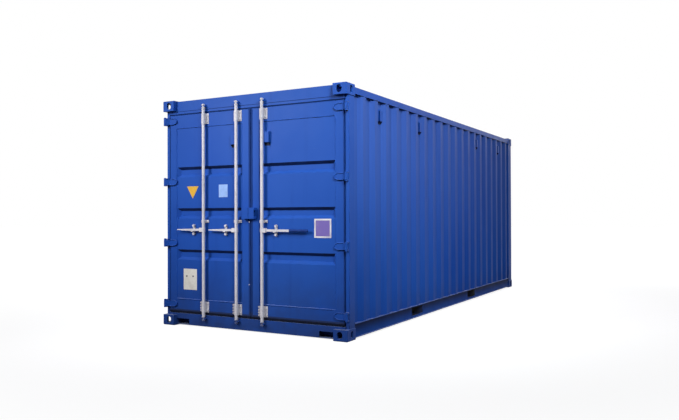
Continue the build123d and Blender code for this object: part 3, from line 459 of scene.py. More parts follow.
class Grower(Nodes):
    """A Geometry Nodes tree with named sizes and a finish."""

    def __init__(self, name, sizes):
        self.tree = bpy.data.node_groups.new(name, "GeometryNodeTree")
        face = self.tree.interface
        face.new_socket("Geometry", in_out="INPUT", socket_type="NodeSocketGeometry")
        self.keys = {}
        for size, value in sizes.items():
            kind = "NodeSocketInt" if isinstance(value, int) else "NodeSocketFloat"
            socket = face.new_socket(size, in_out="INPUT", socket_type=kind)
            socket.default_value = value
            self.keys[size] = socket.identifier
        finish = face.new_socket("Finish", in_out="INPUT", socket_type="NodeSocketMaterial")
        self.keys["Finish"] = finish.identifier
        face.new_socket("Geometry", in_out="OUTPUT", socket_type="NodeSocketGeometry")
        self.given = self.node("NodeGroupInput")

    def moved(self, geometry, up):
        """Geometry raised along Z."""
        offset = self.node("ShaderNodeCombineXYZ", {}, {"Z": up})["Vector"]
        return self.node("GeometryNodeTransform", {},
                         {"Geometry": geometry, "Translation": offset})["Geometry"]

    def on_points(self, shape, twist=None):
        """The shape on every point, with its Z along the point's facing."""
        facing = self.node("GeometryNodeInputNamedAttribute", {"data_type": "FLOAT_VECTOR"},
                           {"Name": "facing"})
        turn = self.node("FunctionNodeAlignRotationToVector", {"axis": "Z"},
                         {"Vector": facing["Attribute"]})["Rotation"]
        if twist is not None:
            chance = self.node("FunctionNodeRandomValue", {"data_type": "FLOAT"},
                               {2: 0.0, 3: twist, 8: self.given["Seed"]})
            spin = self.node("FunctionNodeAxisAngleToRotation", {},
                             {"Axis": (0.0, 0.0, 1.0), "Angle": chance[1]})
            turn = self.node("FunctionNodeRotateRotation", {"rotation_space": "LOCAL"},
                             {"Rotation": turn, "Rotate By": spin["Rotation"]})["Rotation"]
        placed = self.node("GeometryNodeInstanceOnPoints", {},
                           {"Points": self.given["Geometry"], "Instance": shape, "Rotation": turn})
        return placed["Instances"]

    def end(self, geometry):
        """Makes the copies real, gives them the finish and closes the tree."""
        real = self.node("GeometryNodeRealizeInstances", {}, {"Geometry": geometry})["Geometry"]
        painted = self.node("GeometryNodeSetMaterial", {},
                            {"Geometry": real, "Material": self.given["Finish"]})
        self.node("NodeGroupOutput", {}, {"Geometry": painted["Geometry"]})


def piece(name, mesh, finish, body):
    """A finished mesh as a piece that moves with a body."""
    mesh.name = name
    mesh.materials.clear()
    mesh.materials.append(finish)
    made = bpy.data.objects.new(name, mesh)
    scene.collection.objects.link(made)
    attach(made, body)
    print(name, len(mesh.polygons), "faces on", body)


def grow(name, grower, points, finish, body, slot, edges=(), facing=None, **sizes):
    """Runs a grower over points or edges and keeps the result as a plain mesh."""
    seeds = bpy.data.meshes.new(name + "_seeds")
    seeds.from_pydata(points, edges, [])
    if facing is not None:
        flat = [value for vector in facing for value in vector]
        seeds.attributes.new("facing", "FLOAT_VECTOR", "POINT").data.foreach_set("vector", flat)
    holder = bpy.data.objects.new(name + "_seeds", seeds)
    scene.collection.objects.link(holder)
    modifier = holder.modifiers.new("grow", "NODES")
    modifier.node_group = grower.tree
    for size, value in sizes.items():
        modifier[grower.keys[size.replace("_", " ").title()]] = value
    modifier[grower.keys["Finish"]] = finish
    live = holder.evaluated_get(bpy.context.evaluated_depsgraph_get())
    mesh = bpy.data.meshes.new_from_object(live)
    bpy.data.objects.remove(holder)
    piece(name, mesh, finish, body)


print("grower ready")

# %% [markdown]
# ## Bolts, rivets and screws
# A bolt here is a round washer, a six-sided head and a chamfered top, each turned by a random
# amount, as a fitter leaves them. The rod brackets are bolted through the doors and the floor is
# screwed down in rows over the cross members. A modelled thread would never be seen, so the shape
# stays this simple.

# %% Bolt and rivet growers
WASHER_SHARE = 0.4
CROWN_SHARE = 0.25
CROWN_TAPER = 0.72
bolts = Grower("bolts", {"Radius": 0.009, "Height": 0.007, "Washer": 0.013, "Seed": 4})
radius, height = bolts.given["Radius"], bolts.given["Height"]
washer = bolts.node("GeometryNodeMeshCylinder", {},
                    {"Vertices": 16, "Radius": bolts.given["Washer"],
                     "Depth": height * WASHER_SHARE})["Mesh"]
washer = bolts.moved(washer, height * (WASHER_SHARE / 2))
head = bolts.node("GeometryNodeMeshCylinder", {},
                  {"Vertices": 6, "Radius": radius, "Depth": height})["Mesh"]
head = bolts.moved(head, height * (WASHER_SHARE + 0.5))
crown = bolts.node("GeometryNodeMeshCone", {},
                   {"Vertices": 6, "Radius Bottom": radius, "Radius Top": radius * CROWN_TAPER,
                    "Depth": height * CROWN_SHARE})["Mesh"]
crown = bolts.moved(crown, height * (WASHER_SHARE + 1.0))
whole = bolts.node("GeometryNodeJoinGeometry", {}, {"Geometry": [washer, head, crown]})["Geometry"]
bolts.end(bolts.on_points(whole, twist=math.pi / 3))

rivets = Grower("rivets", {"Radius": 0.006, "Rise": 0.5})
ball = rivets.node("GeometryNodeMeshUVSphere", {},
                   {"Segments": 12, "Rings": 8, "Radius": rivets.given["Radius"]})["Mesh"]
flatten = rivets.node("ShaderNodeCombineXYZ", {},
                      {"X": 1.0, "Y": 1.0, "Z": rivets.given["Rise"]})["Vector"]
button = rivets.node("GeometryNodeTransform", {}, {"Geometry": ball, "Scale": flatten})["Geometry"]
button = rivets.node("GeometryNodeSetShadeSmooth", {}, {"Geometry": button})["Geometry"]
rivets.end(rivets.on_points(button))
print("growers", bolts.tree.name, rivets.tree.name)

# %% Bolts of the rod brackets
OUT = (0.0, -1.0, 0.0)
UP = (0.0, 0.0, 1.0)
joints = {joint["name"]: joint for joint in frame["joints"]}
RODS_OF = {"left_door": ("left_outer", "left_inner"), "right_door": ("right",)}
door_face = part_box("right_door_stiles")[0][1]
bracket_low, bracket_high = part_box("right_rod_brackets")
BRACKET_HALF = 0.058
BRACKET_PLATE = 0.006
BOLT_OFFSET = 0.036
BOLT_RISE = 0.036
ROW_OFFSET = 0.062
ROW_STEP = 0.03
GUIDE_LEVEL = 1.198
top_level = bracket_high[2] - BRACKET_HALF
low_level = bracket_low[2] + BRACKET_HALF
levels = [level + rise for level in (top_level, low_level) for rise in (-BOLT_RISE, BOLT_RISE)]
levels.append(GUIDE_LEVEL)


def bracket_bolts(rods):
    """Points on the bracket plates of the named rods, and a row left of each foot bearing."""
    points = []
    for rod in rods:
        x = joints[rod + "_rod_turn"]["pos_m"][0]
        for column in (x - BOLT_OFFSET, x + BOLT_OFFSET):
            points += [(column, door_face - BRACKET_PLATE, level) for level in levels]
        for step in (-1.5, -0.5, 0.5, 1.5):
            points.append((x - ROW_OFFSET, door_face, low_level + ROW_STEP * step))
    return points


for door, rods in RODS_OF.items():
    spots = bracket_bolts(rods)
    grow(door + "_bracket_bolts", bolts, spots, zinc, door, "galvanised_steel",
         facing=[OUT] * len(spots), radius=0.009, height=0.0065, washer=0.0125)

# %% Seam rivets and floor screws
SEAM_RIVETS = [(-0.020, 1.191), (-0.020, 0.512)]
spots = [(x, door_face, z) for x, z in SEAM_RIVETS]
grow("left_door_seam_rivets", rivets, spots, zinc, "left_door", "galvanised_steel",
     facing=[OUT] * len(spots), radius=0.008, rise=0.6)

floor_low, floor_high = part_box("floor_boards")
BOARDS = 5
ROWS = 18
SCREWS_A_BOARD = 4
END_MARGIN = 0.1
EDGE_SHARE = 0.1
board = (floor_high[0] - floor_low[0]) / BOARDS
row_step = (floor_high[1] - floor_low[1] - 2 * END_MARGIN) / (ROWS - 1)
spots = []
for row in range(ROWS):
    for index in range(BOARDS):
        for screw in range(SCREWS_A_BOARD):
            share = EDGE_SHARE + (1 - 2 * EDGE_SHARE) * screw / (SCREWS_A_BOARD - 1)
            x = floor_low[0] + board * (index + share)
            spots.append((x, floor_low[1] + END_MARGIN + row * row_step, floor_high[2]))
grow("floor_screws", rivets, spots, zinc, "container_frame", "galvanised_steel",
     facing=[UP] * len(spots), radius=0.007, rise=0.18)

# %% [markdown]
# ## Welds
# Each sheet is welded to its rails along every fold, and each post to its castings. A real bead
# is a row of frozen ripples. It could be sculpted, but a thin tube along the joint, with a radius
# that changes at random every few centimetres, reads the same and stays light.

# %% Weld grower
beads = Grower("weld_beads", {"Radius": 0.004, "Step": 0.03, "Unevenness": 0.35, "Seed": 11})
line = beads.node("GeometryNodeMeshToCurve", {}, {"Mesh": beads.given["Geometry"]})["Curve"]
line = beads.node("GeometryNodeResampleCurve", {"mode": "LENGTH"},
                  {"Curve": line, "Length": beads.given["Step"]})["Curve"]
chance = beads.node("FunctionNodeRandomValue", {"data_type": "FLOAT"},
                    {2: 1 - beads.given["Unevenness"], 3: 1 + beads.given["Unevenness"],
                     8: beads.given["Seed"]})
ring = beads.node("GeometryNodeCurvePrimitiveCircle", {"mode": "RADIUS"},
                  {"Resolution": 6, "Radius": beads.given["Radius"]})["Curve"]
bead = beads.node("GeometryNodeCurveToMesh", {},
                  {"Curve": line, "Profile Curve": ring, "Scale": chance[1],
                   "Fill Caps": True})["Mesh"]
bead = beads.node("GeometryNodeSetShadeSmooth", {}, {"Geometry": bead})["Geometry"]
beads.end(bead)
print("grower", beads.tree.name)

# %% Welds along the walls and castings


def weld(name, lines, finish, body, **sizes):
    """Beads along every line of points, as one piece."""
    points, edges = [], []
    for line in lines:
        start = len(points)
        points += line
        edges += [(start + i, start + i + 1) for i in range(len(line) - 1)]
    grow(name, beads, points, finish, body, "blue_paint", edges=edges, **sizes)


SHEET = 0.002
DOOR_END = -3.029
FIRST_CREST = DOOR_END + 0.414
CREST_COUNT = 20
CREST_SPACING = 0.2804
CREST_HALF = 0.036
FOLD = 0.104
SIDES = (1, -1)
wall_low, wall_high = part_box("right_side_wall")
valley = wall_low[0] + SHEET
folds = [(valley, wall_low[1])]
for index in range(CREST_COUNT):
    middle = FIRST_CREST + index * CREST_SPACING
    folds += [(valley, middle - FOLD), (wall_high[0], middle - CREST_HALF),
              (wall_high[0], middle + CREST_HALF), (valley, middle + FOLD)]
folds.append((valley, wall_high[1]))
lines = [[(side * x, y, level) for x, y in folds]
         for side in SIDES for level in (wall_low[2], wall_high[2])]
weld("side_wall_welds", lines, paints["fixing"], "container_frame", radius=0.0035, step=0.02)

DOOR_POST_INNER = 1.168
FRONT_POST_INNER = 1.14
post_low, post_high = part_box("door_posts")
front_low, front_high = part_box("front_posts")
door_post = [(DOOR_POST_INNER, post_low[1]), (post_high[0], post_low[1]),
             (post_high[0], post_high[1])]
front_post = [(front_high[0], front_low[1]), (front_high[0], front_high[1]),
              (FRONT_POST_INNER, front_high[1])]
lines = [[(side * x, y, level) for x, y in post]
         for side in SIDES for level in (post_low[2], post_high[2])
         for post in (door_post, front_post)]
weld("post_welds", lines, paints["fixing"], "container_frame", radius=0.0045, step=0.012)

# %% Welds round the door sheets
for door in RODS_OF:
    low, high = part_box(door + "_panel")
    frame_line = [(low[0], low[2]), (low[0], high[2]), (high[0], high[2]), (high[0], low[2])]
    foot_line = [(low[0], low[2]), (high[0], low[2])]
    weld(door + "_panel_welds", [[(x, low[1], z) for x, z in frame_line]], paints["fixing"], door,
         radius=0.006, step=0.02)
    # The foot weld's paint gives its top dust and a painted highlight.
    weld(door + "_panel_foot_weld", [[(x, low[1], z) for x, z in foot_line]], paints["ledge"], door,
         radius=0.008, step=0.02)

# %% [markdown]
# ## Rolled edges
# The bottom rail and the lip above it are folded from thick plate, and a fold leaves a round edge
# that catches the light along the whole side. The CAD edges could be bevelled, but the same tube
# as for the welds, nearly even and set into the edge, gives that line of light with a few faces.

# %% Rolled edges of the bottom rails
LIP_EDGE = 0.005
FOOT_EDGE = 0.006
EDGE_EVEN = {"step": 0.1, "unevenness": 0.15}
lip_low, lip_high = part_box("bottom_rail_lips")
rail_low, rail_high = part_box("bottom_side_rails")
lip_out, lip_level = lip_high[0] - LIP_EDGE / 2, lip_high[2]
foot_out, foot_level = rail_high[0], rail_low[2] + FOOT_EDGE / 2
lines = [[(side * lip_out, y, lip_level) for y in (lip_low[1], lip_high[1])] for side in SIDES]
# Both edges take the ledge paint, whose tops get dust and a painted highlight.
weld("rail_lip_edges", lines, paints["ledge"], "container_frame", radius=LIP_EDGE, **EDGE_EVEN)
lines = [[(side * foot_out, y, foot_level) for y in (rail_low[1], rail_high[1])] for side in SIDES]
weld("rail_foot_edges", lines, paints["ledge"], "container_frame", radius=FOOT_EDGE, **EDGE_EVEN)

# %% [markdown]
# ## Hinge straps
# Each hinge strap is a forging, thicker round its outline than in the middle. The rim could be
# cut into the CAD blade, but it is small and only its highlight shows, so a smooth tube follows
# the outline on the blade's face, from the root at the post round the narrow tip and back.

# %% Raised rims of the forged hinge straps
HINGE_LEVELS = (0.245, 0.948, 1.651, 2.354)
STRAP_THICKNESS = 0.012
STRAP_HALF = 0.033
STRAP_TIP_HALF = 0.017
STRAP_TAPER = 0.034
STRAP_ROOT = 1.154
for door, side in (("left_door", -1), ("right_door", 1)):
    low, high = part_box(door.replace("door", "hinge_blades"))
    tip = min(abs(low[0]), abs(high[0]))
    outline = [(STRAP_ROOT, STRAP_HALF), (tip + STRAP_TAPER, STRAP_HALF), (tip, STRAP_TIP_HALF),
               (tip, -STRAP_TIP_HALF), (tip + STRAP_TAPER, -STRAP_HALF), (STRAP_ROOT, -STRAP_HALF)]
    lines = [[(side * x, door_face - STRAP_THICKNESS, level + rise) for x, rise in outline]
             for level in HINGE_LEVELS]
    weld(door + "_hinge_rims", lines, paints["fixing"], door,
         radius=0.0055, step=0.01, unevenness=0.05)

# %% [markdown]
# ## Grilles
# The ventilators breathe through slots in the sides of their hoods. Each slot gets a bank of thin
# bars, which could be cut with a boolean, but copies of one small bar on a column of points stay
# clean.

# %% Grille bars in the ventilators
bars = Grower("grille_bars", {"Length": 0.02, "Thickness": 0.002})
size = bars.node("ShaderNodeCombineXYZ", {},
                 {"X": bars.given["Thickness"], "Y": bars.given["Thickness"],
                  "Z": bars.given["Length"]})["Vector"]
bar = bars.node("GeometryNodeMeshCube", {}, {"Size": size})["Mesh"]
bars.end(bars.on_points(bar))
HOOD_HALF = 0.029
BAR_STEP = 0.016
BAR_COUNT = 6
BAR_INSET = 0.003
BAR_OUT = 0.0145
BAR_RISE = 0.012
BAR_SIZE = {"length": 0.021, "thickness": 0.0022}


def grille(centre, along, out):
    """Points down both sides of one hood; along is its width and out its front."""
    points = []
    for side in (-1, 1):
        column = Vector(centre) + side * (HOOD_HALF - BAR_INSET) * Vector(along)
        for index in range(BAR_COUNT):
            rise = (index - (BAR_COUNT - 1) / 2) * BAR_STEP + BAR_RISE
            points.append(tuple(column + BAR_OUT * Vector(out) + Vector((0.0, 0.0, rise))))
    return points


for door in RODS_OF:
    low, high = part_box(door + "_vent")
    middle = ((low[0] + high[0]) / 2, high[1], (low[2] + high[2]) / 2)
    spots = grille(middle, (1, 0, 0), OUT)
    grow(door + "_vent_grille", bars, spots, paints["fixing"], door, "blue_paint",
         facing=[OUT] * len(spots), **BAR_SIZE)

vent_low, vent_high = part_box("side_vents")
VENT_VALLEYS = (1, 5, 13, 17)
level = (vent_low[2] + vent_high[2]) / 2
spots, facing = [], []
for side in SIDES:
    out = (side, 0.0, 0.0)
    for index in VENT_VALLEYS:
        y = FIRST_CREST + (index + 0.5) * CREST_SPACING
        made = grille((side * valley, y, level), (0, 1, 0), out)
        spots += made
        facing += [out] * len(made)
grow("side_vent_grilles", bars, spots, paints["fixing"], "container_frame", "blue_paint",
     facing=facing, **BAR_SIZE)

# %% [markdown]
# ## Lashing rings
# Cargo is tied to steel rings along the foot of each inner wall. Each ring is a circle of round
# bar. A ready-made torus would do for one, but here the tree sweeps a small circle round a larger
# one, so both radii stay inputs, and sets a copy on every point.

# %% Lashing rings inside
rings = Grower("lashing_rings", {"Ring Radius": 0.026, "Bar Radius": 0.005})
hoop = rings.node("GeometryNodeCurvePrimitiveCircle", {"mode": "RADIUS"},
                  {"Resolution": 20, "Radius": rings.given["Ring Radius"]})["Curve"]
bar_end = rings.node("GeometryNodeCurvePrimitiveCircle", {"mode": "RADIUS"},
                     {"Resolution": 8, "Radius": rings.given["Bar Radius"]})["Curve"]
hoop = rings.node("GeometryNodeCurveToMesh", {}, {"Curve": hoop, "Profile Curve": bar_end})["Mesh"]
hoop = rings.node("GeometryNodeSetShadeSmooth", {}, {"Geometry": hoop})["Geometry"]
rings.end(rings.on_points(hoop))
RING_COUNT = 5
FIRST_RING = -2.2
RING_SPACING = 1.1
RING_INSET = 0.012
RING_RISE = 0.045
RING_LEAN = 0.25
spots, facing = [], []
for side in SIDES:
    for index in range(RING_COUNT):
        spots.append((side * (wall_low[0] - RING_INSET), FIRST_RING + index * RING_SPACING,
                      floor_high[2] + RING_RISE))
        facing.append((side, 0.0, RING_LEAN))
grow("lashing_rings", rings, spots, zinc, "container_frame", "galvanised_steel",
     facing=facing, ring_radius=0.026, bar_radius=0.005)

# %% [markdown]
# ## Handle grip
# The long handle ends in a moulded blue sleeve. It could be a plain cylinder, but a moulding has
# finger ribs and a rounded end, so a list of distances and widths gives its outline and oval
# rings are joined along it.

# %% Moulded grip on the long handle
PLASTIC_BLUE = tint(14, 46, 116)
PLASTIC_RUBBED = tint(26, 62, 134)


def moulded_plastic():
    f = Finish("blue_moulded_plastic")
    rub = f.noise(55.0, (0.3, 1.0, 1.0), detail=4.0)
    colour = f.blend(rub.ramp(0.4, 0.75), PLASTIC_BLUE, PLASTIC_RUBBED)
    skin = f.bump(f.noise(420.0, detail=2.0), 0.15, 0.001)
    return f.surface({"Base Color": colour, "Roughness": 0.6 + 0.2 * rub, "Normal": skin,
                      "Specular IOR Level": 0.2})


def join_rings(form, rings):
    """Faces between each ring of points and the next."""
    for ring, after in zip(rings, rings[1:]):
        for index in range(len(ring)):
            nearby = (index + 1) % len(ring)
            form.faces.new((ring[index], ring[nearby], after[nearby], after[index]))


def closed(name, form):
    """The form as a mesh with its faces turned outwards."""
    bmesh.ops.recalc_face_normals(form, faces=form.faces)
    mesh = bpy.data.meshes.new(name)
    form.to_mesh(mesh)
    form.free()
    return mesh


handle_low, handle_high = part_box("right_handle")
GRIP_START = 0.520
GRIP_HALF_HEIGHT = 0.0155
GRIP_HALF_DEPTH = 0.0120
GRIP_RIBS = 12
GRIP_SIDES = 20
FIRST_RIB = 0.022
PLAIN_ENDS = 0.040
middle = Vector((0.0, (handle_low[1] + handle_high[1]) / 2, (handle_low[2] + handle_high[2]) / 2))
length = handle_high[0] - GRIP_START
outline = [(0.0, 0.86), (0.004, 1.0), (0.018, 1.0)]
for rib in range(GRIP_RIBS):
    start = FIRST_RIB + rib * (length - PLAIN_ENDS) / GRIP_RIBS
    outline += [(start, 0.93), (start + 0.004, 1.0), (start + 0.010, 1.0)]
outline += [(length - 0.004, 0.98), (length + 0.002, 0.84), (length + 0.005, 0.55)]
form = bmesh.new()
ovals = []
for along, share in outline:
    oval = []
    for corner in range(GRIP_SIDES):
        angle = 2 * math.pi * corner / GRIP_SIDES
        offset = Vector((GRIP_START + along, share * GRIP_HALF_DEPTH * math.cos(angle),
                         share * GRIP_HALF_HEIGHT * math.sin(angle)))
        oval.append(form.verts.new(middle + offset))
    ovals.append(oval)
join_rings(form, ovals)
form.faces.new(ovals[0])
form.faces.new(ovals[-1])
sleeve = closed("right_handle_grip", form)
sleeve.shade_smooth()
piece("right_handle_grip", sleeve, moulded_plastic(), "right_lever")

# %% [markdown]
# ## Door seals
# A black rubber profile runs round each door: a flat lip lies on the door's front edge and a
# round bead fills the gap to the frame. It could be swept along a curve, but a rectangle needs
# square mitres, so the profile's points are each carried round the four corners and joined with
# faces.

# %% Rubber lips round the doors
LIP = [(-1.0, 0.0005), (-1.0, 0.0022), (-0.5, 0.0030), (-0.08, 0.0026), (0.7, 0.0010),
       (1.0, -0.003), (0.7, -0.008), (0.12, -0.010), (0.12, 0.0002)]
LIP_REACH = {"outer": 0.008, "bottom": 0.036, "inner": 0.016, "top": 0.004}
BEAD_REACH = {"outer": 0.0012, "bottom": 0.0042, "inner": 0.0072, "top": 0.0042}


def seal(name, low, high, sides, body):
    """Carries the lip's points round a door; sides names its left, bottom, right and top edges."""
    form = bmesh.new()
    lines = []
    for share, rise in LIP:
        reach = BEAD_REACH if share > 0 else LIP_REACH
        left, bottom, right, top = [share * reach[side] for side in sides]
        corners = [(low[0] - left, low[2] - bottom), (high[0] + right, low[2] - bottom),
                   (high[0] + right, high[2] + top), (low[0] - left, high[2] + top)]
        lines.append([form.verts.new((x, door_face - rise, z)) for x, z in corners])
    join_rings(form, lines + lines[:1])
    piece(name, closed(name, form), rubber, body)


SEAL_SIDES = {"left_door": ("outer", "bottom", "inner", "top"),
              "right_door": ("inner", "bottom", "outer", "top")}
for door, sides in SEAL_SIDES.items():
    low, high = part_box(door + "_stiles")
    seal(door + "_seal_lip", low, high, sides, door)

# %% [markdown]
# ## Bare plates
# The real doors carry printed plates and stickers. Here they stay as bare shapes of the same size
# and colour: a pale rating plate held by rivets, a light blue patch, a yellow triangle and a
# violet patch in a white frame. They could be drawn in the doors' paint, but a real plate has an
# edge that catches the light, so each is cut from its outline, given a thickness and softened.

# %% Plate finishes
FILM_GLOSS = 0.4
SCRATCH_GREY = tint(90, 92, 98)
MOTTLE = 8


def film(name, colour, worn):
    """Printed film or thin plate with faded patches and fine scratches."""
    f = Finish(name)
    fade = f.noise(9.0, detail=5.0)
    scratch = f.noise(90.0, (1.0, 1.0, 0.08), detail=3.0)
    shade = f.blend(fade.ramp(0.4, 0.75) * 0.6, colour(f), worn)
    shade = f.blend(scratch.ramp(0.68, 0.76) * 0.35, shade, SCRATCH_GREY)
    skin = f.bump(scratch, 0.08, 0.001)
    return f.surface({"Base Color": shade, "Roughness": FILM_GLOSS + 0.25 * fade, "Normal": skin,
                      "Specular IOR Level": 0.3})


def plain(*colour):
    """One sRGB colour, slightly mottled."""
    darker = [max(channel - MOTTLE, 0) for channel in colour]
    return lambda f: f.blend(f.noise(40.0).ramp(0.3, 0.7), tint(*colour), tint(*darker))


VIOLET_MIDDLE = (0.905, 1.128)
VIOLET_HALF = (0.083, 0.081)
FRAME_WHITE = tint(226, 222, 228)
FIELD_VIOLET = tint(116, 98, 176)


def framed(f):
    """White frame round a violet field."""
    across = f.x.apart(VIOLET_MIDDLE[0]) < VIOLET_HALF[0]
    upright = f.z.apart(VIOLET_MIDDLE[1]) < VIOLET_HALF[1]
    return f.blend(across * upright, FRAME_WHITE, FIELD_VIOLET)


film_yellow = film("yellow_film", plain(222, 172, 58), tint(190, 160, 90))
film_sky = film("light_blue_film", plain(150, 184, 242), tint(120, 150, 205))
film_violet = film("violet_film_in_white_frame", framed, tint(140, 128, 170))
film_pale = film("pale_plate", plain(234, 231, 226), tint(202, 196, 188))
print("plates", film_yellow.name, film_sky.name, film_violet.name, film_pale.name)

# %% Cut the plates
panel_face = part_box("right_door_panel")[0][1]
PLATE_THICKNESS = 0.0014
PLATE_BEVEL = 0.0005
ARC_STEPS = 4


def rounded(corners, radius):
    """Outline with its corners cut by short arcs."""
    points = []
    count = len(corners)
    for index in range(count):
        corner = Vector(corners[index])
        before = (Vector(corners[index - 1]) - corner).normalized()
        after = (Vector(corners[(index + 1) % count]) - corner).normalized()
        for step in range(ARC_STEPS + 1):
            t = step / ARC_STEPS
            reach = radius * ((1 - t) ** 2 * before + t ** 2 * after)
            points.append(tuple(corner + reach))
    return points


def plate(name, corners, radius, finish, body):
    """Thin plate on a door's sheet from corners in x and z."""
    form = bmesh.new()
    ring = [form.verts.new((x, panel_face, z)) for x, z in rounded(corners, radius)]
    face = form.faces.new(ring)
    raised = bmesh.ops.extrude_face_region(form, geom=[face])["geom"]
    bmesh.ops.translate(form, verts=[v for v in raised if isinstance(v, bmesh.types.BMVert)],
                        vec=(0.0, -PLATE_THICKNESS, 0.0))
    raised_half = panel_face - 0.5 * PLATE_THICKNESS
    rim = [edge for edge in form.edges if all(v.co.y < raised_half for v in edge.verts)]
    bmesh.ops.bevel(form, geom=rim, offset=PLATE_BEVEL, segments=2, affect="EDGES")
    piece(name, closed(name, form), finish, body)


def box_corners(x0, x1, z0, z1):
    return [(x0, z0), (x1, z0), (x1, z1), (x0, z1)]


TRIANGLE = [(-0.821, 1.457), (-0.736, 1.597), (-0.906, 1.597)]
SKY_PATCH = box_corners(-0.442, -0.318, 1.466, 1.608)
RATING_PLATE = box_corners(-0.958, -0.761, 0.414, 0.653)
VIOLET_PATCH = box_corners(0.804, 1.006, 1.030, 1.226)
plate("yellow_triangle", TRIANGLE, 0.006, film_yellow, "left_door")
plate("light_blue_patch", SKY_PATCH, 0.004, film_sky, "left_door")
plate("rating_plate", RATING_PLATE, 0.006, film_pale, "left_door")
plate("violet_patch", VIOLET_PATCH, 0.006, film_violet, "right_door")
PLATE_RIVETS = [(-0.910, 0.569), (-0.817, 0.569)]
spots = [(x, panel_face - PLATE_THICKNESS, z) for x, z in PLATE_RIVETS]
grow("rating_plate_rivets", rivets, spots, wax, "left_door", "galvanised_steel",
     facing=[OUT] * len(spots), radius=0.010, rise=0.4)

# %% [markdown]
# ## White surroundings
# In the photograph the box stands cut out on white. A white world would do that, but it would
# also light the box evenly from everywhere and wash out every fold. So the floor and the world
# are white only to the camera and to reflections, and nearly all other light is left to the lamps.

# %% World and floor
scene.view_settings.view_transform = "Standard"


class Stage(Nodes):
    """An empty tree of the world or of the floor."""

    def __init__(self, owner):
        owner.use_nodes = True
        self.tree = owner.node_tree
        self.tree.nodes.clear()
        self.path = self.node("ShaderNodeLightPath")


def grey(level):
    return (level, level, level, 1.0)


SKY_TINT = (0.93, 0.96, 1.0, 1.0)
SKY_LEVEL = 0.10
MIRRORED_WHITE = 0.9
world = bpy.data.worlds.new("studio_sky")
scene.world = world
sky = Stage(world)
lit = sky.node("ShaderNodeBackground", {}, {"Color": SKY_TINT, "Strength": SKY_LEVEL})
white = sky.node("ShaderNodeBackground", {}, {"Color": grey(1.0), "Strength": 1.0})
share = sky.path["Is Camera Ray"] + MIRRORED_WHITE * sky.path["Is Glossy Ray"]
choice = sky.node("ShaderNodeMixShader", {},
                  {0: share, 1: lit["Background"], 2: white["Background"]})
sky.node("ShaderNodeOutputWorld", {}, {"Surface": choice["Shader"]})

FLOOR_REACH = 60.0
FLOOR_FADE = (4.0, 9.0)
FLOOR_GREY = 0.40
FLOOR_GLOW = 0.82
FLOOR_BOUNCE = 0.06
MIRRORED_FLOOR = 0.85
floor_mesh = bpy.data.meshes.new("studio_floor")
signs = ((-1, -1), (1, -1), (1, 1), (-1, 1))
corners = [(sx * FLOOR_REACH, sy * FLOOR_REACH, 0.0) for sx, sy in signs]
floor_mesh.from_pydata(corners, [], [(0, 1, 2, 3)])
floor = bpy.data.objects.new("studio_floor", floor_mesh)
scene.collection.objects.link(floor)
floor_paint = bpy.data.materials.new("studio_floor")
ground = Stage(floor_paint)
place = ground.node("ShaderNodeTexCoord")["Object"]
distance = ground.node("ShaderNodeVectorMath", {"operation": "LENGTH"}, {0: place})["Value"]
glow_colour = ground.node("ShaderNodeMix", {"data_type": "RGBA"},
                          {0: distance.ramp(*FLOOR_FADE), 6: grey(FLOOR_GLOW), 7: grey(1.0)})[2]
glow = ground.node("ShaderNodeEmission", {}, {"Color": glow_colour, "Strength": 1.0})
matt = ground.node("ShaderNodeBsdfDiffuse", {}, {"Color": grey(FLOOR_GREY)})
dim = ground.node("ShaderNodeBsdfDiffuse", {}, {"Color": grey(FLOOR_BOUNCE)})
seen = ground.node("ShaderNodeAddShader", {}, {0: glow["Emission"], 1: matt["BSDF"]})
share = ground.path["Is Camera Ray"] + MIRRORED_FLOOR * ground.path["Is Glossy Ray"]
choice = ground.node("ShaderNodeMixShader", {}, {0: share, 1: dim["BSDF"], 2: seen["Shader"]})
ground.node("ShaderNodeOutputMaterial", {}, {"Surface": choice["Shader"]})
floor_mesh.materials.append(floor_paint)
print("sky level", SKY_LEVEL, "floor", FLOOR_GREY, "+", FLOOR_GLOW)

# %% [markdown]
# ## Lamps
# The light in the photograph is soft and comes from above, as under an even sky. One sky picture
# could light the box, but separate soft lamps can be set until each side agrees with the
# photograph. The lamp at the front left makes the doors bright at the top and throws the rods'
# soft shadows to their right, the next two light the long side on the right, and three more keep
# the roof and the hidden sides readable.

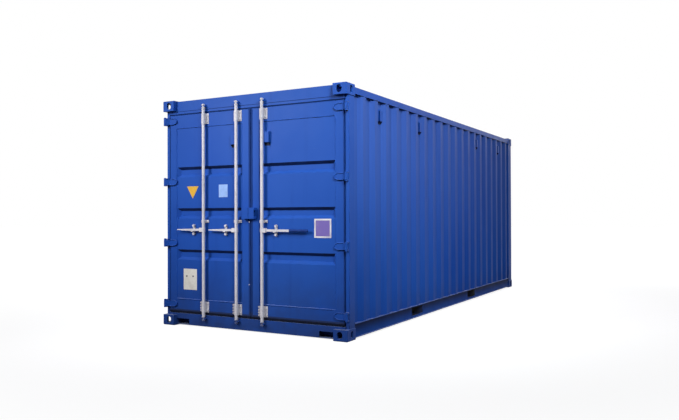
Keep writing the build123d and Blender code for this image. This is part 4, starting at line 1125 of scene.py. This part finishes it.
# %% Lamps
LAMPS = {  # place, target, size in metres, watts, colour, spread in degrees
    "front_left_lamp":
        ((-2.4, -6.8, 3.7), (-0.1, -2.97, 1.5), 1.8, 32.0, (1.0, 0.98, 0.96), 62.0),
    "front_right_lamp":
        ((4.6, -5.8, 4.4), (1.2, -2.0, 2.1), 2.0, 57.0, (0.94, 1.0, 0.98), 68.0),
    "right_side_lamp":
        ((6.5, 0.4, 5.6), (1.2, 0.4, 2.5), 3.0, 28.0, (1.0, 0.84, 1.0), 80.0),
    "roof_lamp":
        ((0.0, 1.0, 9.0), (0.0, 0.0, 2.5), 5.0, 110.0, (0.96, 0.98, 1.0), 180.0),
    "left_side_lamp":
        ((-7.0, 0.2, 5.0), (-1.2, 0.2, 1.8), 3.0, 105.0, (1.0, 0.97, 0.95), 100.0),
    "closed_end_lamp":
        ((1.0, 8.6, 4.4), (0.0, 3.0, 1.6), 2.5, 85.0, (0.97, 0.98, 1.0), 100.0),
}


def soft_lamp(name, place, target, size, power, colour, spread):
    """A square of light aimed at a point; a small spread dims it away from that point."""
    lamp = bpy.data.lights.new(name, "AREA")
    lamp.size = size
    lamp.spread = math.radians(spread)
    lamp.energy = power
    lamp.color = colour
    holder = bpy.data.objects.new(name, lamp)
    holder.location = place
    holder.visible_camera = False
    aim = Vector(target) - Vector(place)
    holder.rotation_euler = aim.to_track_quat("-Z", "Y").to_euler()
    scene.collection.objects.link(holder)


for name, settings in LAMPS.items():
    soft_lamp(name, *settings)

# %% [markdown]
# ## Camera
# The camera stands where the photographer stood, about as high as the middle of the doors and to
# the right of them. It could be placed by eye, but its place, turn and lens were worked out from
# the box's corners, which have a known size, so the render and the photograph can be laid over
# each other.

# %% Camera at the photograph's angle
EYE_PLACE = (4.4775, -9.0054, 1.2608)
FOCUS_PIXELS = 686.79
PICTURE_WIDTH = 679.0
SENSOR = 36.0
YAW, PITCH, ROLL = math.radians(29.223), math.radians(0.443), math.radians(-0.173)
eye = bpy.data.cameras.new("eye")
eye.sensor_fit = "HORIZONTAL"
eye.sensor_width = SENSOR
eye.lens = FOCUS_PIXELS / PICTURE_WIDTH * SENSOR
camera = bpy.data.objects.new("eye", eye)
camera.location = EYE_PLACE
pan, tilt = Matrix.Rotation(YAW, 4, "Z"), Matrix.Rotation(math.pi / 2 + PITCH, 4, "X")
camera.rotation_euler = (pan @ tilt @ Matrix.Rotation(ROLL, 4, "Z")).to_euler()
scene.collection.objects.link(camera)
scene.camera = camera
print("lens", round(eye.lens, 2), "mm")
